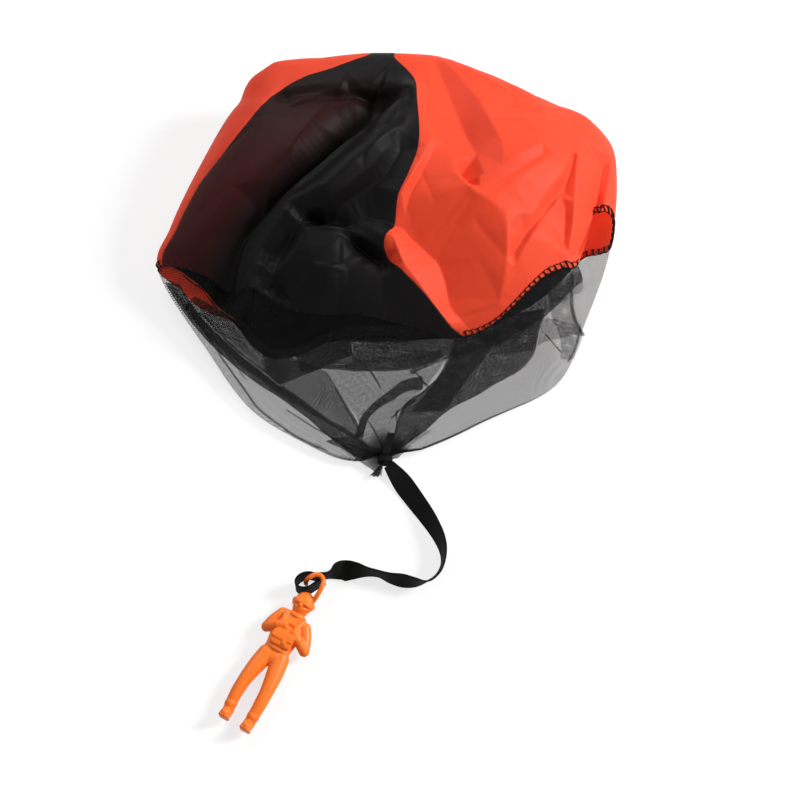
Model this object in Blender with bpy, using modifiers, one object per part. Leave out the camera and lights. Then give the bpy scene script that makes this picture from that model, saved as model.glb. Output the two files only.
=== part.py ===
# Toy parachute lying on a table: four nylon gores, a tulle skirt gathered into a knot,
# a flat ribbon with a sewn eye, and a moulded figure whose hook hangs in that eye.
# Metres, +Z up. The origin is on the table under the canopy; the crown is towards +Y.
import math

import bmesh
import bpy
import numpy as np
from mathutils import Vector

# Driving dimensions of the cloth as it lies
canopy_half_width = 0.132
canopy_height = 0.075
cloth_reach = 0.251             # crown to gather, along the table
crown_ahead = 0.102             # crown, ahead of the origin
nylon_thickness = 0.0006
tulle_thickness = 0.0005
sewing_gap = 0.0003             # clearance between touching solids
seam_clearance = 0.0008         # between two gores along their seam
hem_clearance = 0.0004          # between the hem's band and the cloth that it binds
least_slant_share = 0.45
hem_radius = 0.0011             # overlocked edge, as a round thread band
trim_above_table = 0.0003       # hems and ribbon clear the table by this
seam_radius = 0.0008            # overlocked seam allowance inside the canopy
crown_hole_share = 0.035        # of the way from crown to hem
table_bend = 0.003              # half height of the bend where the cloth lifts off the table
skirt_pleat_depth = 0.0022
skirt_pleats = 11

# The gather at the skirt's end
bundle_half_width = 0.0032
bundle_half_height = 0.0024
bundle_length = 0.0065
bundle_height_above_table = 0.0047
wrap_wall = 0.0011
wrap_length = 0.0036
tuft_length = 0.0062
tuft_half_width = 0.0022
tuft_half_height = 0.0019
tuft_aside_share = 0.75         # of the bundle's half width, to the ribbon's left
tail_length = 0.0115
tail_width = 0.0046
tail_taper_share = 0.75
tail_lean_share = 0.8           # of its width, towards the right over its length
tail_station_shares = (1.985, 1.765)
tail_degrees = (80, 90, 100)    # round the skirt, under the tail
tail_steps = 6

# Ribbon with its sewn eye
ribbon_width = 0.012
ribbon_thickness = 0.0009
ribbon_start_width = 0.003
ribbon_widening = 0.016         # length over which the pinched end opens out
tack_thickness = 0.0012
tack_overlap_share = 0.55       # of the ribbon's width

# Moulded figure
figure_height = 0.0845          # boot soles to the top of the head
figure_heading = math.radians(62.0)
hook_rod_radius = 0.00135
hook_over_eye_gap = 0.0003
figure_above_table = 0.0004

# Meridians of the lying sack: shares of half width, of reach from the crown, and of height.
# Stations 0 to 1 are nylon, 1 to 2 tulle.
meridian_station_shares = (0, 0.12, 0.3, 0.5, 0.75, 1.0, 1.25, 1.5, 1.75, 2.0)
right_meridian_shares = (
    (-0.05, 0.012, 0.42), (0.47, 0.06, 0.56), (0.83, 0.15, 0.52), (0.99, 0.215, 0.48), (1.03, 0.325, 0.43),
    (0.985, 0.51, 0.37), (0.88, 0.66, 0.19), (0.735, 0.82, 0.10), (0.38, 0.91, 0.07), (0.01, 0.993, 0.07))
top_meridian_shares = (
    (-0.05, 0.012, 0.42), (-0.015, 0.03, 0.78), (0.01, 0.17, 0.94), (0.03, 0.395, 1.0), (0.05, 0.575, 0.83),
    (0.05, 0.72, 0.57), (0.045, 0.785, 0.36), (0.03, 0.875, 0.21), (0.01, 0.945, 0.14), (-0.01, 0.988, 0.11))
left_meridian_shares = (
    (-0.05, 0.012, 0.42), (-0.53, 0.01, 0.53), (-0.70, 0.12, 0.48), (-0.855, 0.275, 0.39), (-0.98, 0.435, 0.31),
    (-1.03, 0.535, 0.19), (-0.80, 0.73, 0.11), (-0.58, 0.885, 0.07), (-0.27, 0.977, 0.06), (-0.035, 0.993, 0.06))
bottom_meridian_shares = (
    (-0.05, 0.012, 0.42), (-0.03, 0.05, 0.16), (0, 0.09, 0), (0, 0.22, -0.07), (0, 0.46, -0.08),
    (0.02, 0.69, -0.05), (0.02, 0.79, -0.02), (0, 0.87, -0.01), (0, 0.945, 0.01), (-0.01, 0.988, 0.02))

# Where the hem lies round the mouth, as a station share against the angle round the sack
hem_angle_degrees = (0, 12, 22, 32, 41, 50, 57, 64, 76, 87, 98, 112, 132, 150, 170, 225, 270, 315, 330, 345)
hem_station_shares = (0.99, 0.94, 0.90, 0.93, 0.97, 0.98, 1.03, 1.13, 1.16, 1.05,
                      0.99, 1.01, 0.95, 0.95, 0.98, 1.0, 1.0, 1.0, 0.97, 0.96)

# The four seams, each as angles against the share of the way from crown to hem
seam_way_shares = (0, 0.15, 0.3, 0.45, 0.6, 0.75, 0.87, 1.0)
seam_angle_degrees = {
    "front_right": (70, 79, 81, 83, 89, 93, 84, 72),
    "front_left": (104, 115, 139, 157, 170, 173, 172, 169),
    "back_left": (240, 240, 240, 239, 238, 236, 234, 232),
    "back_right": (300, 303, 308, 315, 322, 330, 335, 338)}
gore_seams = {
    "gore_front_black": ("front_right", "front_left"),
    "gore_left_orange": ("front_left", "back_left"),
    "gore_back_black": ("back_left", "back_right"),
    "gore_right_orange": ("back_right", "front_right")}

# Folds of the upper cloth, in plan: points as shares of half width and reach, then height
# as a share of the canopy height and width as a share of the half width.
fold_shares = (
    (((0.07, 0.19), (0.03, 0.25), (-0.08, 0.36), (-0.27, 0.46), (-0.41, 0.47), (-0.55, 0.56), (-0.63, 0.70)),
     0.13, 0.075),
    (((-0.03, 0.21), (-0.29, 0.37), (-0.51, 0.47), (-0.67, 0.62)), -0.17, 0.10),
    (((-0.47, 0.17), (-0.17, 0.17), (0.03, 0.18)), -0.045, 0.035),
    (((-0.37, 0.49), (-0.22, 0.51), (-0.02, 0.60)), -0.07, 0.045),
    (((-0.27, 0.62), (-0.2, 0.64)), 0.06, 0.16),
    (((0.2, 0.08), (0.23, 0.26), (0.28, 0.33), (0.36, 0.42), (0.49, 0.52)), -0.075, 0.05),
    (((0.5, 0.50), (0.67, 0.38), (0.84, 0.26)), 0.07, 0.05),
    (((0.85, 0.24), (0.84, 0.41), (0.82, 0.57)), 0.06, 0.045),
    (((0.63, 0.48), (0.55, 0.60), (0.47, 0.73)), -0.075, 0.045),
    (((0.3, 0.51), (0.4, 0.60)), -0.09, 0.13),
    (((0.6, 0.26), (0.62, 0.34)), 0.07, 0.15))

# Where folds and pleats fade: sines for the upper side, stations for the rest
upper_side_shares = (0, 0.33)
fold_start_shares = (0, 0.1)
fold_end_shares = (1.0, 1.3)
pleat_start_shares = (1.1, 1.4)
pleat_end_shares = (1.5, 2.0)

# Route of the ribbon over the table, from the gather to the eye, in metres
ribbon_route = (
    (0.0010, -0.1538), (0.0064, -0.1604), (0.0112, -0.1679), (0.0162, -0.1756), (0.0211, -0.1831),
    (0.0255, -0.1906), (0.0290, -0.1979), (0.0310, -0.2051), (0.0307, -0.2125), (0.0273, -0.2195),
    (0.0212, -0.2237), (0.0146, -0.2240), (0.0081, -0.2230), (0.0015, -0.2216), (-0.0051, -0.2190),
    (-0.0117, -0.2178), (-0.0184, -0.2169), (-0.0250, -0.2166), (-0.0315, -0.2196), (-0.0381, -0.2210))
# Roll of the ribbon about its route, face up at 0, as the share of the way to the eye
ribbon_roll_shares = (0, 0.12, 0.25, 0.37, 0.47, 0.53, 0.575, 0.62, 0.667, 0.714, 0.763, 0.81, 0.856, 0.895, 0.925,
                      0.95, 1.0)
ribbon_roll_degrees = (12, 29, 49, 68, 80, 74, 72, 94, 106, 97, 87, 95, 122, 144, 118, 91, 90)
# The eye stands on edge as an oval; its turns are counted from its long axis
eye_centre = (-0.0445, -0.2246)
eye_half_length = 0.0058
eye_half_width = 0.0042
eye_heading = math.radians(20)
eye_turns = (math.radians(60), math.radians(300))
eye_overlap_steps = 3           # of the ribbon's steps, sewn to the returning end

# The figure lies on its back. Balls: shares of its height, across, along, up, radius.
figure_body_shares = {
    "head": ((0, 0.875, 0.088, 0.072), (0, 0.888, 0.083, 0.076)),
    "chin": ((0, 0.853, 0.115, 0.042), (0, 0.87, 0.09, 0.06)),
    "neck": ((0, 0.79, 0.075, 0.042), (0, 0.86, 0.08, 0.042)),
    "chest": ((-0.068, 0.745, 0.078, 0.05), (0.068, 0.74, 0.078, 0.05), (-0.05, 0.67, 0.088, 0.052),
              (0.052, 0.67, 0.088, 0.052), (-0.04, 0.58, 0.078, 0.045), (0.044, 0.58, 0.078, 0.045)),
    "hips": ((-0.04, 0.58, 0.075, 0.045), (0.044, 0.58, 0.075, 0.045), (-0.05, 0.50, 0.075, 0.05),
             (0.052, 0.50, 0.075, 0.05)),
    "left_upper_arm": ((-0.085, 0.745, 0.075, 0.042), (-0.142, 0.64, 0.065, 0.033)),
    "left_forearm": ((-0.142, 0.64, 0.065, 0.033), (-0.06, 0.675, 0.135, 0.027)),
    "left_hand": ((-0.065, 0.673, 0.133, 0.031), (-0.045, 0.69, 0.14, 0.026)),
    "right_upper_arm": ((0.087, 0.74, 0.075, 0.042), (0.156, 0.62, 0.065, 0.034)),
    "right_forearm": ((0.156, 0.62, 0.065, 0.034), (0.078, 0.655, 0.135, 0.027)),
    "right_hand": ((0.082, 0.653, 0.133, 0.031), (0.06, 0.672, 0.14, 0.026)),
    "left_thigh": ((-0.048, 0.485, 0.075, 0.056), (-0.088, 0.25, 0.082, 0.042)),
    "left_shin": ((-0.088, 0.25, 0.082, 0.042), (-0.08, 0.06, 0.066, 0.033)),
    "left_boot": ((-0.08, 0.065, 0.066, 0.036), (-0.08, 0.04, 0.046, 0.038), (-0.079, 0.03, 0.12, 0.03)),
    "right_thigh": ((0.05, 0.485, 0.075, 0.056), (0.084, 0.24, 0.082, 0.042)),
    "right_shin": ((0.084, 0.24, 0.082, 0.042), (0.078, 0.05, 0.066, 0.033)),
    "right_boot": ((0.078, 0.055, 0.066, 0.036), (0.078, 0.03, 0.046, 0.038), (0.077, 0.02, 0.12, 0.03)),
    "reserve_pack": ((-0.058, 0.645, 0.138, 0.014), (0.068, 0.645, 0.138, 0.014), (-0.052, 0.56, 0.132, 0.014),
                     (0.062, 0.56, 0.132, 0.014), (-0.058, 0.645, 0.09, 0.014), (0.068, 0.645, 0.09, 0.014),
                     (-0.052, 0.56, 0.09, 0.014), (0.062, 0.56, 0.09, 0.014)),
    "back_pack": ((-0.05, 0.76, 0.022, 0.02), (0.05, 0.76, 0.022, 0.02), (-0.045, 0.56, 0.022, 0.02),
                  (0.045, 0.56, 0.022, 0.02), (-0.05, 0.76, 0.06, 0.02), (0.05, 0.76, 0.06, 0.02),
                  (-0.045, 0.56, 0.06, 0.02), (0.045, 0.56, 0.06, 0.02)),
    "left_strap": ((-0.062, 0.775, 0.112, 0.013), (-0.028, 0.66, 0.137, 0.013)),
    "right_strap": ((0.062, 0.77, 0.112, 0.013), (0.034, 0.66, 0.137, 0.013)),
    "belt": ((-0.085, 0.535, 0.075, 0.018), (0, 0.53, 0.118, 0.018), (0.087, 0.535, 0.075, 0.018)),
    "visor": ((-0.05, 0.905, 0.13, 0.014), (0, 0.91, 0.148, 0.014), (0.05, 0.905, 0.13, 0.014))}
# The hook's rod from the side of the head over the eye's wall: across, along and up shares
hook_route_shares = ((0.05, 0.925, 0.105), (0.062, 0.975, 0.143), (0.063, 1.03, 0.161))
hook_crest_shares = ((0.05, 1.072), (0.018, 1.09), (-0.012, 1.082))
hook_inside_shares = (0.35, 0.93)   # past the crest: of its distance from the eye's middle, of its height
hook_tip_place_shares = (-0.058, 1.028)
hook_tip_share = 0.05           # height of the tip above the table

# Facet counts
gore_columns = 17
gore_rows = 19
skirt_rows = 9
ribbon_steps = 72
round_steps = 16
hook_steps = 20
ball_subdivision_count = 2
probe_share = 0.001             # station step used to measure directions on the cloth
probe_degrees = 1


# Scene and materials

def clear_scene():
    for old in list(bpy.data.objects):
        bpy.data.objects.remove(old, do_unlink=True)


def make_collection(name):
    made = bpy.data.collections.new(name)
    bpy.context.scene.collection.children.link(made)
    return made


def make_material(name, colour, roughness, metallic=0.0):
    material = bpy.data.materials.new(name)
    material.use_nodes = True
    shader = material.node_tree.nodes["Principled BSDF"]
    shader.inputs["Base Color"].default_value = (*colour, 1)
    shader.inputs["Roughness"].default_value = roughness
    shader.inputs["Metallic"].default_value = metallic
    return material


def add_object(name, mesh, collection, material=None, parent=None):
    """Links a mesh whose points are in world space, as a child of its pivot if it has one."""
    made = bpy.data.objects.new(name, mesh)
    collection.objects.link(made)
    if material:
        mesh.materials.append(material)
    if parent:
        made.parent = parent
        mesh.transform(parent.matrix_world.inverted())
    return made


def add_pivot(name, place, collection):
    """An empty on a joint's upright axis."""
    pivot = bpy.data.objects.new(name, None)
    pivot.location = place
    collection.objects.link(pivot)
    bpy.context.view_layer.update()
    return pivot


# Curves through chosen points

def smooth_through(stations, values, at):
    """Cubic curve through the values at the stations, with slopes taken from the neighbours."""
    stations = np.asarray(stations, float)
    values = np.asarray(values, float)
    if values.ndim == 1:
        return smooth_through(stations, values[:, None], at)[..., 0]
    slopes = np.gradient(values, stations, axis=0)
    at = np.clip(at, stations[0], stations[-1])
    low = np.clip(np.searchsorted(stations, at, side="right") - 1, 0, len(stations) - 2)
    span = (stations[low + 1] - stations[low])[..., None]
    way = ((at - stations[low])[..., None]) / span
    rise = values[low + 1] - values[low]
    start, end = slopes[low] * span, slopes[low + 1] * span
    return values[low] + way * start + way**2 * (3 * rise - 2 * start - end) + way**3 * (start + end - 2 * rise)


def round_trip(degrees, values, at):
    """The same for values against an angle that comes round again after a full turn."""
    full_turn = 360
    degrees = np.concatenate([np.subtract(degrees, full_turn), degrees, np.add(degrees, full_turn)])
    return smooth_through(degrees, np.tile(values, 3), np.mod(at, full_turn))


def along_route(points, count):
    """Evenly spaced points on one smooth curve through a route's points."""
    points = np.asarray(points, float)
    lengths = np.concatenate([[0], np.cumsum(np.linalg.norm(np.diff(points, axis=0), axis=1))])
    fine = smooth_through(lengths, points, np.linspace(0, lengths[-1], 20 * count))
    run = np.concatenate([[0], np.cumsum(np.linalg.norm(np.diff(fine, axis=0), axis=1))])
    even = np.linspace(0, run[-1], count)
    return np.stack([np.interp(even, run, fine[:, axis]) for axis in range(fine.shape[1])], axis=1)


# The lying cloth: one closed loop of cloth at each station from crown to gather

def meridian(shares, station):
    across, back, up = np.moveaxis(smooth_through(meridian_station_shares, shares, station), -1, 0)
    return np.stack([across * canopy_half_width, crown_ahead - back * cloth_reach, up * canopy_height], axis=-1)


def distance_to_line(x, y, points):
    """Least distance in plan from each place to a line of points."""
    least = np.full(np.shape(x), np.inf)
    for (ax, ay), (bx, by) in zip(points[:-1], points[1:]):
        along = ((x - ax) * (bx - ax) + (y - ay) * (by - ay)) / ((bx - ax)**2 + (by - ay)**2)
        along = np.clip(along, 0, 1)
        least = np.minimum(least, np.hypot(x - ax - along * (bx - ax), y - ay - along * (by - ay)))
    return least


def fold_height(x, y):
    """Sum of the folds: each is a bell across its line."""
    height = np.zeros(np.shape(x))
    for line_shares, height_share, width_share in fold_shares:
        line = [(across * canopy_half_width, crown_ahead - back * cloth_reach) for across, back in line_shares]
        bell = np.exp(-(distance_to_line(x, y, line) / (width_share * canopy_half_width))**2)
        height += height_share * canopy_height * bell
    return height


def ramp(value, ends):
    """Smooth rise from zero to one between two ends."""
    way = np.clip((value - ends[0]) / (ends[1] - ends[0]), 0, 1)
    return way * way * (3 - 2 * way)


def rest_on_table(height):
    """Heights below the table become zero, with a short round bend where the cloth lifts off."""
    bend = table_bend
    return np.where(height > bend, height, np.where(height < -bend, 0, (height + bend)**2 / (4 * bend)))


def cloth_place(angle, station):
    """Loop through the four meridians at a station: cosine and sine carry right to left and
    top to bottom, the squared sine brings the loop to the top and bottom lines. Folds are
    added to the upper side, pleats to the skirt, and the table stops the underside."""
    angle, station = np.broadcast_arrays(np.asarray(angle, float), np.asarray(station, float))
    turn = np.radians(angle)
    cosine, sine = np.cos(turn)[..., None], np.sin(turn)[..., None]
    right = meridian(right_meridian_shares, station)
    top = meridian(top_meridian_shares, station)
    left = meridian(left_meridian_shares, station)
    bottom = meridian(bottom_meridian_shares, station)
    middle = (right + left) / 2
    place = middle + (right - left) / 2 * cosine + (top - bottom) / 2 * sine
    place = place + ((top + bottom) / 2 - middle) * sine**2
    upper = ramp(sine[..., 0], upper_side_shares)
    nylon = ramp(station, fold_start_shares) * (1 - ramp(station, fold_end_shares))
    skirt = ramp(station, pleat_start_shares) * (1 - ramp(station, pleat_end_shares))
    place[..., 2] += fold_height(place[..., 0], place[..., 1]) * upper * nylon
    place[..., 2] += skirt_pleat_depth * np.cos(turn * skirt_pleats) * skirt * np.clip(sine[..., 0], 0, 1)**2
    place[..., 2] = rest_on_table(place[..., 2])
    return place


def hem_station(angle):
    return round_trip(hem_angle_degrees, hem_station_shares, angle)


def seam_angle(seam, way):
    return smooth_through(seam_way_shares, seam_angle_degrees[seam], way)


def inward(angle, station):
    """Unit direction into the sack, square to the cloth."""
    step = probe_share
    round_way = cloth_place(angle + probe_degrees, station) - cloth_place(angle - probe_degrees, station)
    down_way = cloth_place(angle, station + step) - cloth_place(angle, station - step)
    square = np.cross(down_way, round_way)
    return square / np.linalg.norm(square, axis=-1, keepdims=True)


def degrees_for(length, angle, station):
    """Angle that covers a length of cloth round the loop."""
    round_way = cloth_place(angle + probe_degrees, station) - cloth_place(angle - probe_degrees, station)
    return 2 * probe_degrees * length / np.linalg.norm(round_way, axis=-1)


def stations_clear_of_hem(angle):
    """Station step that keeps cloth clear of the hem's band, also where the hem runs aslant."""
    step = probe_share
    station = hem_station(angle)
    down = (cloth_place(angle, station + step) - cloth_place(angle, station - step)) / (2 * step)
    before, after = angle - probe_degrees, angle + probe_degrees
    along = cloth_place(after, hem_station(after)) - cloth_place(before, hem_station(before))
    speed = np.linalg.norm(down, axis=-1)
    slant = np.linalg.norm(np.cross(down, along), axis=-1) / (speed * np.linalg.norm(along, axis=-1))
    return (hem_radius + hem_clearance) / (speed * np.maximum(slant, least_slant_share))


def cloth_solid(name, grid, thickness, material, collection):
    """Loft of a grid of places on the cloth, thickened inwards."""
    rows, columns = grid.shape[:2]
    number = np.arange(rows * columns).reshape(rows, columns)
    corners = [number[:-1, :-1], number[:-1, 1:], number[1:, 1:], number[1:, :-1]]
    quads = np.stack(corners, axis=-1).reshape(-1, 4)
    mesh = bpy.data.meshes.new(name)
    mesh.from_pydata(grid.reshape(-1, 3).tolist(), [], quads.tolist())
    mesh.shade_smooth()
    made = add_object(name, mesh, collection, material)
    wall = made.modifiers.new("wall", "SOLIDIFY")
    wall.thickness = thickness
    wall.offset = -1
    return made


def make_gore(name, material, collection):
    first, second = gore_seams[name]
    ways = np.linspace(crown_hole_share, 1, gore_rows)
    grid = []
    for way in ways:
        start, end = seam_angle(first, way), seam_angle(second, way)
        end = end + 360 if end < start else end
        half_gap = seam_clearance / 2
        start += degrees_for(half_gap, start, way * hem_station(start))
        end -= degrees_for(half_gap, end, way * hem_station(end))
        angles = np.linspace(start, end, gore_columns)
        ends = hem_station(angles) - stations_clear_of_hem(angles)
        grid.append(cloth_place(angles, ends * way))
    return cloth_solid(name, np.array(grid), nylon_thickness, material, collection)


def make_skirt(name, gore, material, collection):
    """Tulle panel that hangs on one gore's hem and runs to the gather."""
    first, second = gore_seams[gore]
    start, end = seam_angle(first, 1), seam_angle(second, 1)
    end = end + 360 if end < start else end
    last = meridian_station_shares[-1]
    grid = []
    for way in np.linspace(0, 1, skirt_rows):
        middle_station = hem_station(start) + (last - hem_station(start)) * way
        trims = degrees_for(seam_clearance / 2, np.array([start, end]), middle_station)
        angles = np.linspace(start + trims[0], end - trims[1], gore_columns)
        starts = hem_station(angles) + stations_clear_of_hem(angles)
        grid.append(cloth_place(angles, starts + (last - starts) * way))
    return cloth_solid(name, np.array(grid), tulle_thickness, material, collection)


def add_tube(name, places, radius, material, collection, resolution=1):
    """Round cord on a poly spline through the places."""
    curve = bpy.data.curves.new(name, "CURVE")
    curve.dimensions = "3D"
    curve.bevel_depth = radius
    curve.bevel_resolution = resolution
    curve.use_fill_caps = True
    spline = curve.splines.new("POLY")
    spline.points.add(len(places) - 1)
    for point, place in zip(spline.points, places):
        point.co = (*place, 1)
    made = bpy.data.objects.new(name, curve)
    collection.objects.link(made)
    curve.materials.append(material)
    return made


def make_hem(name, gore, material, collection):
    """Overlocked edge along one gore's share of the mouth."""
    first, second = gore_seams[gore]
    start, end = seam_angle(first, 1), seam_angle(second, 1)
    end = end + 360 if end < start else end
    trim = degrees_for(seam_clearance, np.array([start, end]), 1)
    angles = np.linspace(start + trim[0], end - trim[1], gore_columns)
    stations = hem_station(angles)
    places = cloth_place(angles, stations) + inward(angles, stations) * nylon_thickness / 2
    places[:, 2] = np.maximum(places[:, 2], hem_radius + trim_above_table)
    return add_tube(name, places, hem_radius, material, collection)


def make_seam(name, seam, material, collection):
    """Overlocked allowance that runs inside the canopy under a seam."""
    ways = np.linspace(crown_hole_share, 1, gore_rows)[1:-1]
    angles = seam_angle(seam, ways)
    stations = ways * hem_station(angles)
    depth = nylon_thickness + seam_clearance + seam_radius
    places = cloth_place(angles, stations) + inward(angles, stations) * depth
    places[:, 2] = np.maximum(places[:, 2], depth)
    return add_tube(name, places, seam_radius, material, collection)


# The gather: bunched tulle, its wrap, the tuft past it and the ribbon's short tail

def gather_start():
    """Middle of the skirt's end."""
    last = meridian_station_shares[-1]
    return cloth_place(np.linspace(0, 360, round_steps, endpoint=False), last).mean(axis=0)


def loft(name, rings, material, collection, parent=None):
    """Closed skin over a row of rings with the same number of points, with flat ends."""
    rings = np.asarray(rings)
    count, around = rings.shape[:2]
    number = np.arange(count * around).reshape(count, around)
    after = np.roll(number, -1, axis=1)
    quads = np.stack([number[:-1], after[:-1], after[1:], number[1:]], axis=-1).reshape(-1, 4).tolist()
    quads += [number[0][::-1].tolist(), number[-1].tolist()]
    mesh = bpy.data.meshes.new(name)
    mesh.from_pydata(rings.reshape(-1, 3).tolist(), [], quads)
    shell = bmesh.new()
    shell.from_mesh(mesh)
    bmesh.ops.recalc_face_normals(shell, faces=shell.faces)
    shell.to_mesh(mesh)
    shell.free()
    return add_object(name, mesh, collection, material, parent)


def oval_ring(centre, half_width, half_height):
    """Oval in a plane square to Y."""
    turn = np.linspace(0, 2 * math.pi, round_steps, endpoint=False)
    ring = np.stack([np.cos(turn) * half_width, np.zeros(round_steps), np.sin(turn) * half_height], axis=1)
    return ring + np.asarray(centre)


def bundle_axis(way):
    """Place along the bunched tulle, a share of its length on from the skirt's end."""
    start = gather_start()
    return np.array([start[0], start[1] - sewing_gap - way * bundle_length, bundle_height_above_table])


def make_bundle(material, collection):
    swell_shares = (0.8, 0.95, 1.0, 0.95, 0.75)
    ways = np.linspace(0, 1, len(swell_shares))
    rings = [oval_ring(bundle_axis(way), bundle_half_width * swell, bundle_half_height * swell)
             for way, swell in zip(ways, swell_shares)]
    return loft("gather_bundle", rings, material, collection)


def make_wrap(material, collection):
    """Sleeve of ribbon sewn round the bundle, a closed ring with the bundle in its bore."""
    half = wrap_length / bundle_length / 2
    ways = np.array([0.5 - half, 0.5 + half])
    inner, outer = [], []
    for way in ways:
        bore_width = bundle_half_width + sewing_gap
        bore_height = bundle_half_height + sewing_gap
        inner.append(oval_ring(bundle_axis(way), bore_width, bore_height))
        outer.append(oval_ring(bundle_axis(way), bore_width + wrap_wall, bore_height + wrap_wall))
    corners = np.array([inner[0], outer[0], outer[1], inner[1]])
    number = np.arange(4 * round_steps).reshape(4, round_steps)
    after = np.roll(number, -1, axis=1)
    below = np.roll(number, -1, axis=0)
    below_after = np.roll(below, -1, axis=1)
    quads = np.stack([number, after, below_after, below], axis=-1).reshape(-1, 4)
    mesh = bpy.data.meshes.new("gather_wrap")
    mesh.from_pydata(corners.reshape(-1, 3).tolist(), [], quads.tolist())
    shell = bmesh.new()
    shell.from_mesh(mesh)
    bmesh.ops.recalc_face_normals(shell, faces=shell.faces)
    shell.to_mesh(mesh)
    shell.free()
    return add_object("gather_wrap", mesh, collection, material)


def make_tuft(material, collection):
    """Free ends of the tulle that stick out past the gather, to the left of the ribbon."""
    swell_shares = (0.5, 0.8, 0.9, 0.7)
    start = bundle_axis(1)
    rings = []
    for way, swell in zip(np.linspace(0, 1, len(swell_shares)), swell_shares):
        aside = -bundle_half_width * (tuft_aside_share + way)
        centre = start + np.array([aside, -sewing_gap - way * tuft_length, -way * bundle_half_height / 2])
        rings.append(oval_ring(centre, tuft_half_width * swell, tuft_half_height * swell))
    return loft("gather_tuft", rings, material, collection)


def make_tail(material, collection):
    """Short cut end of the ribbon, laid back over the skirt from the wrap."""
    rings = []
    start = bundle_axis(0.5 - wrap_length / bundle_length / 2)
    bundle_top = bundle_height_above_table + bundle_half_height
    for way in np.linspace(0, 1, tail_steps):
        reach = start[1] + sewing_gap + way * tail_length
        station = tail_station_shares[0] + way * (tail_station_shares[1] - tail_station_shares[0])
        skirt_top = cloth_place(np.array(tail_degrees), station)[:, 2].max()
        low = max(skirt_top, bundle_top) + sewing_gap * 2
        half = tail_width / 2 * (tail_taper_share + (1 - tail_taper_share) * way)
        middle = start[0] + way * tail_width * tail_lean_share
        rings.append([(middle - half, reach, low), (middle + half, reach, low),
                      (middle + half, reach, low + ribbon_thickness), (middle - half, reach, low + ribbon_thickness)])
    return loft("ribbon_tail", rings, material, collection)


# Ribbon

def ribbon_lines():
    """Centre line of the ribbon, its width direction and half widths, knot to sewn end."""
    route = along_route([(*place, 0) for place in ribbon_route], ribbon_steps)
    before_eye = len(route)
    # The eye: round the hook's tip and back beside the incoming ribbon
    turns = np.linspace(*eye_turns, round_steps)
    along, beside = np.cos(turns) * eye_half_length, np.sin(turns) * eye_half_width
    cosine, sine = math.cos(eye_heading), math.sin(eye_heading)
    oval = np.stack([eye_centre[0] + along * cosine - beside * sine,
                     eye_centre[1] + along * sine + beside * cosine, np.zeros(round_steps)], axis=1)
    sewn = route[-eye_overlap_steps] - np.array([0, (ribbon_thickness + sewing_gap) * 2, 0])
    end = np.stack([oval[-1] * (1 - way) + sewn * way for way in (0.5, 1)])
    line = np.concatenate([route, oval, end])
    way = np.concatenate([np.linspace(0, 1, before_eye), np.ones(len(line) - before_eye)])
    roll = np.radians(smooth_through(ribbon_roll_shares, ribbon_roll_degrees, way))
    heading = np.gradient(line, axis=0)
    heading /= np.linalg.norm(heading, axis=1, keepdims=True)
    aside = np.stack([-heading[:, 1], heading[:, 0], np.zeros(len(line))], axis=1)
    upward = np.array([0, 0, 1.0])
    across = aside * np.cos(roll)[:, None] + upward * np.sin(roll)[:, None]
    square = np.cross(heading, across)
    run = np.concatenate([[0], np.cumsum(np.linalg.norm(np.diff(line, axis=0), axis=1))])
    opened = np.clip(run / ribbon_widening, 0, 1)
    width = ribbon_start_width + (ribbon_width - ribbon_start_width) * np.sin(opened * math.pi / 2)
    lift = np.abs(across[:, 2]) * width / 2 + np.abs(square[:, 2]) * ribbon_thickness / 2
    knot_height = bundle_height_above_table
    line[:, 2] = np.maximum(lift + trim_above_table, knot_height * (1 - opened) + (lift + trim_above_table) * opened)
    return line, across, square, width, run[-1]


def make_ribbon(material, collection, pivot):
    line, across, square, width, length = ribbon_lines()
    half_width = (across * width[:, None]) / 2
    half_wall = square * ribbon_thickness / 2
    rings = np.stack([line - half_width - half_wall, line - half_wall, line + half_width - half_wall,
                      line + half_width + half_wall, line + half_wall, line - half_width + half_wall], axis=1)
    print("ribbon length from gather to sewn end, in metres:", round(length, 4))
    return loft("ribbon", rings, material, collection, pivot)


def make_tack(material, collection, pivot):
    """Thread bar over the ribbon's sewn end, on the side away from the incoming ribbon."""
    line, across, square, width, length = ribbon_lines()
    last = line[-1]
    heading = line[-1] - line[-2]
    heading /= np.linalg.norm(heading)
    aside = np.array([heading[1], -heading[0], 0])
    tall = ribbon_width * tack_overlap_share / 2
    near = last + aside * (ribbon_thickness / 2 + sewing_gap) - heading * tack_thickness
    rings = []
    for way in (0, 1):
        foot = near + aside * tack_thickness / 2 * way
        rings.append([foot - heading * tack_thickness / 2 - np.array([0, 0, tall]),
                      foot + heading * tack_thickness / 2 - np.array([0, 0, tall]),
                      foot + heading * tack_thickness / 2 + np.array([0, 0, tall]),
                      foot - heading * tack_thickness / 2 + np.array([0, 0, tall])])
    return loft("eye_tack", rings, material, collection, pivot)


# Figure

def figure_place(across, along, up):
    """World place of a point given in shares of the figure's height."""
    ahead = np.array([math.cos(figure_heading), math.sin(figure_heading)])
    beside = np.array([ahead[1], -ahead[0]])
    boots = figure_boots()
    flat = boots + beside * across * figure_height + ahead * along * figure_height
    return np.array([flat[0], flat[1], up * figure_height + figure_above_table])


def figure_boots():
    """Boot soles, placed so that the hook's tip stands in the ribbon's eye."""
    tip_across, tip_along = hook_tip_place_shares
    ahead = np.array([math.cos(figure_heading), math.sin(figure_heading)])
    beside = np.array([ahead[1], -ahead[0]])
    return np.array(eye_centre) - (beside * tip_across + ahead * tip_along) * figure_height


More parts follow.
